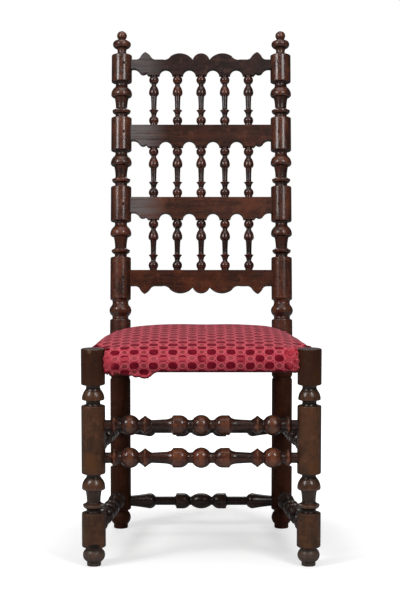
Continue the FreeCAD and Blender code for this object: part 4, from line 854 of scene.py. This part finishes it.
def tucks(points, normal_way):
    """Small folds where the cloth is cut and turned in at the four uprights: waves along the angle
    round each upright that die away from it, and slanting ones down the front corners."""
    x, y, z = points[..., 0], points[..., 1], points[..., 2]
    move_out = np.zeros(x.shape)
    for centre_x, centre_y, radius, waves, depth in UPRIGHT_TUCKS:
        for sign in (-1, 1):
            angle = np.arctan2(y - centre_y, x - sign * centre_x)
            away = np.hypot(x - sign * centre_x, y - centre_y) - radius
            fold = np.sin(angle * waves + 1.7 * sign + 30 * z) * np.clip(away / 0.003, 0, 1)
            move_out += depth * np.exp(-np.clip(away, 0, None) / TUCK_REACH) * fold
    from_corner = np.clip(FRONT_LEG_X - 0.0265 - np.abs(x), 0, None)
    corner = np.exp(-from_corner / 0.030) * np.clip((COVER_FRONT + 0.02 - y) / 0.02, 0, 1)
    slant = np.sin((np.abs(x) * 0.8 + z * 1.1) * 2 * math.pi / CORNER_FOLD_SPACING + np.sign(x) * 0.8)
    return move_out + np.where(x > 0, 0.0022, 0.0015) * corner * slant * normal_way


def make_cover():
    """Rings from the middle of the top out to the shoulder, then down a cubic curve from the
    shoulder over the rail's corner to the hem, then under the rail, or hanging where it is torn."""
    inset = NOTCH_INSET + (SHOULDER - NOTCH_INSET - 0.0065 * front_share) * (1 - hollow_share)
    shoulder = edge - outward * smooth_loop(inset, 12)[:, None]
    rings = fill_rings(shoulder, ring_shares)
    height = seat_height(rings[..., 0], rings[..., 1]) - drawn_down(ring_shares)
    top = np.dstack([rings, np.maximum(height, LEAST_HEIGHT)])
    top_uv = np.dstack([rings[..., 0], middle_arc(rings[..., 1] - COVER_FRONT)])
    inner = shoulder - outward * SLOPE_STEP
    slope = (seat_height(*shoulder.T) - seat_height(*inner.T)) / SLOPE_STEP - 0.35 * hollow_share
    reach = (0.0045 + 0.0085 * (1 - hollow_share)) / np.hypot(1.0, slope)
    belly = (1 - hollow_share) * (0.009 + 0.012 * front_share)
    belly_height = BELLY_HEIGHT - 0.013 * front_share
    first = top[-1]
    second = np.column_stack([shoulder + outward * reach[:, None], first[:, 2] + slope * reach])
    third = np.column_stack([edge + outward * belly[:, None], belly_height])
    hem_wave = 0.0006 * lumps(edge[:, 0], edge[:, 1], 0.05, 9)
    fourth = np.column_stack([edge, HEM + hem_wave])
    share = np.linspace(0.0, 1.0, 20)[1:, None, None]
    skirt = (first * (1 - share) ** 3 + second * 3 * share * (1 - share) ** 2
             + third * 3 * share ** 2 * (1 - share) + fourth * share ** 3)
    tear = np.interp(edge[:, 0], TEAR_PLACES, TEAR_DROPS) * (edge[:, 1] < COVER_FRONT + 0.003)
    hangs = np.clip(tear / 0.002, 0.0, 1.0)[:, None]
    rag = np.abs(lumps(edge[:, 0], edge[:, 1], 0.009, 3)) * 0.0075 * hangs[:, 0]
    lips = []
    for step, (turned_in, drop) in enumerate(((0.0012, 0.00005), (0.0050, 0.0), (0.0130, 0.0))):
        tucked = np.column_stack([edge - outward * turned_in, np.full(len(edge), LIP_HEIGHT + drop)])
        fall = (tear + rag) * (step + 1) / 3
        sway = 0.0016 * np.sin(edge[:, 0] * 260.0) * (step + 1) / 3
        hanging = np.column_stack([edge + outward * sway[:, None], fourth[:, 2] - fall])
        lips.append(tucked * (1 - hangs) + hanging * hangs)
    rings = np.concatenate([top, skirt, np.array(lips)])
    below = rings[len(top) - 1:]
    steps = np.cumsum(np.linalg.norm(np.diff(below, axis=0), axis=2), axis=0)
    lower_uv = top_uv[-1] + outward * steps[..., None]
    uv = np.concatenate([top_uv, lower_uv])
    uv[..., 1] = ROW_STEP * np.interp(uv[..., 1], ROW_ARCS, ROW_COUNTS) + np.minimum(uv[..., 1], 0.0)
    across = np.roll(rings, -1, 1) - np.roll(rings, 1, 1)
    square = np.cross(np.gradient(rings, axis=0), across)
    square /= np.maximum(np.linalg.norm(square, axis=2), 1e-12)[..., None]
    shift = tucks(rings, 1 - np.clip(square[..., 2], 0, 1))
    shift[-len(lips):] *= 0.3
    rings = rings + square * shift[..., None]
    rings[:len(top), :, 2] = np.maximum(rings[:len(top), :, 2], LEAST_HEIGHT)
    bottom = np.where(hangs[:, 0] > 0.5, rings[-1, :, 2], HEM)
    above_hem = np.append((rings[..., 2] - bottom).ravel(), 0.05)
    middle = edge.mean(0)
    middle_row = float(np.interp(middle_arc(middle[1] - COVER_FRONT), ROW_ARCS, ROW_COUNTS))
    piece = disc_mesh("velvet_cover", rings, (*middle, float(seat_height(*middle))), velvet(), uv,
                      (middle[0], ROW_STEP * middle_row))
    layer = piece.data.attributes.new("above_hem", "FLOAT", "POINT")
    layer.data.foreach_set("value", above_hem.astype(np.float32))
    return piece


cover = make_cover()
thicken(cover, 0.0016, -1.0)
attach(cover, "root")
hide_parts("seat_cover")

# Floor and light. A white studio sweep, two tall soft boxes before the chair, one behind it and one
# overhead. Away from the chair the sweep is white to the eye; near the chair its glow is weaker, a
# painted shade, and under the chair the shadow shows.
WHITE = (1.0, 1.0, 1.0)
FLOOR_HALF = 12.0
AIM_HEIGHT = 0.75


def to_camera(tree):
    """1 for the rays of the camera and for those through clear things, 0 for light that bounces."""
    path = add_node(tree, "ShaderNodeLightPath", {})
    return calc(tree, "MAXIMUM", path.outputs["Is Camera Ray"], path.outputs["Is Transmission Ray"])


floor_material = bpy.data.materials.new("studio_floor")
floor_material.use_nodes = True
tree = floor_material.node_tree
tree.nodes.clear()
shader = add_node(tree, "ShaderNodeBsdfDiffuse", {"Color": (0.62, 0.62, 0.62)})
# Painted shade: the camera's glow is weaker within 0.30 m of the chair's middle and full beyond 0.62 m, so
# the floor round the chair shows greyer.
away = length(tree, move(tree, "ADD", on_chair(tree), (0.0, 0.05, 0.0)))
strength = calc(tree, "MULTIPLY_ADD", between(tree, away, 0.30, 0.62), 0.44, 0.56)
glow = add_node(tree, "ShaderNodeEmission", {"Color": WHITE, "Strength": strength})
both = add_node(tree, "ShaderNodeAddShader", {0: shader.outputs[0], 1: glow.outputs[0]})
pick = add_node(tree, "ShaderNodeMixShader", {0: to_camera(tree), 1: shader.outputs[0], 2: both.outputs[0]})
add_node(tree, "ShaderNodeOutputMaterial", {"Surface": pick.outputs[0]})
corners = FLOOR_HALF * np.array([[-1.0, -1.0, 0.0], [1.0, -1.0, 0.0], [1.0, 1.0, 0.0], [-1.0, 1.0, 0.0]])
floor = make_mesh("studio_floor", corners, [(0, 1, 2, 3)], floor_material)


def soft_box(name, azimuth, distance, height, width, tall, watts):
    """An area lamp round the chair, facing the middle of its back."""
    data = bpy.data.lights.new(name, "AREA")
    data.shape = "RECTANGLE"
    data.size, data.size_y, data.energy = width, tall, watts
    lamp = bpy.data.objects.new(name, data)
    angle = math.radians(azimuth)
    lamp.location = (math.sin(angle) * distance, -math.cos(angle) * distance, height)
    aim = np.array([0.0, 0.0, AIM_HEIGHT]) - np.array(lamp.location)
    tilt = math.atan2(math.hypot(aim[0], aim[1]), -aim[2])
    lamp.rotation_euler = (tilt, 0.0, math.atan2(aim[1], aim[0]) - math.pi / 2)
    bpy.context.scene.collection.objects.link(lamp)


soft_box("soft_box_left", -51.0, 2.6, 2.3, 0.75, 1.3, 46.0)
soft_box("soft_box_right", 32.5, 2.4, 2.25, 0.70, 1.3, 34.0)
soft_box("soft_box_top", 0.0, 0.3, 2.9, 1.8, 1.8, 18.0)
soft_box("soft_box_back", 180.0, 2.6, 2.3, 1.6, 1.2, 22.0)

world = bpy.data.worlds.new("studio")
world.use_nodes = True
tree = world.node_tree
tree.nodes.clear()
plain = add_node(tree, "ShaderNodeBackground", {"Color": WHITE, "Strength": 0.07})
white = add_node(tree, "ShaderNodeBackground", {"Color": WHITE, "Strength": 1.0})
pick = add_node(tree, "ShaderNodeMixShader", {0: to_camera(tree), 1: plain.outputs[0], 2: white.outputs[0]})
add_node(tree, "ShaderNodeOutputWorld", {"Surface": pick.outputs[0]})
bpy.context.scene.world = world
bpy.context.scene.view_settings.view_transform = "Standard"

# Camera. It stands in front of the chair at chest height and looks a little down.
camera = bpy.data.objects.new("camera", bpy.data.cameras.new("camera"))
camera.data.lens = 97.5
camera.data.sensor_width = 36.0
camera.location = (-0.0028, -3.758, 0.881)
camera.rotation_euler = (math.radians(90.0 - 4.86), 0.0, 0.0)
bpy.context.scene.collection.objects.link(camera)
bpy.context.scene.camera = camera
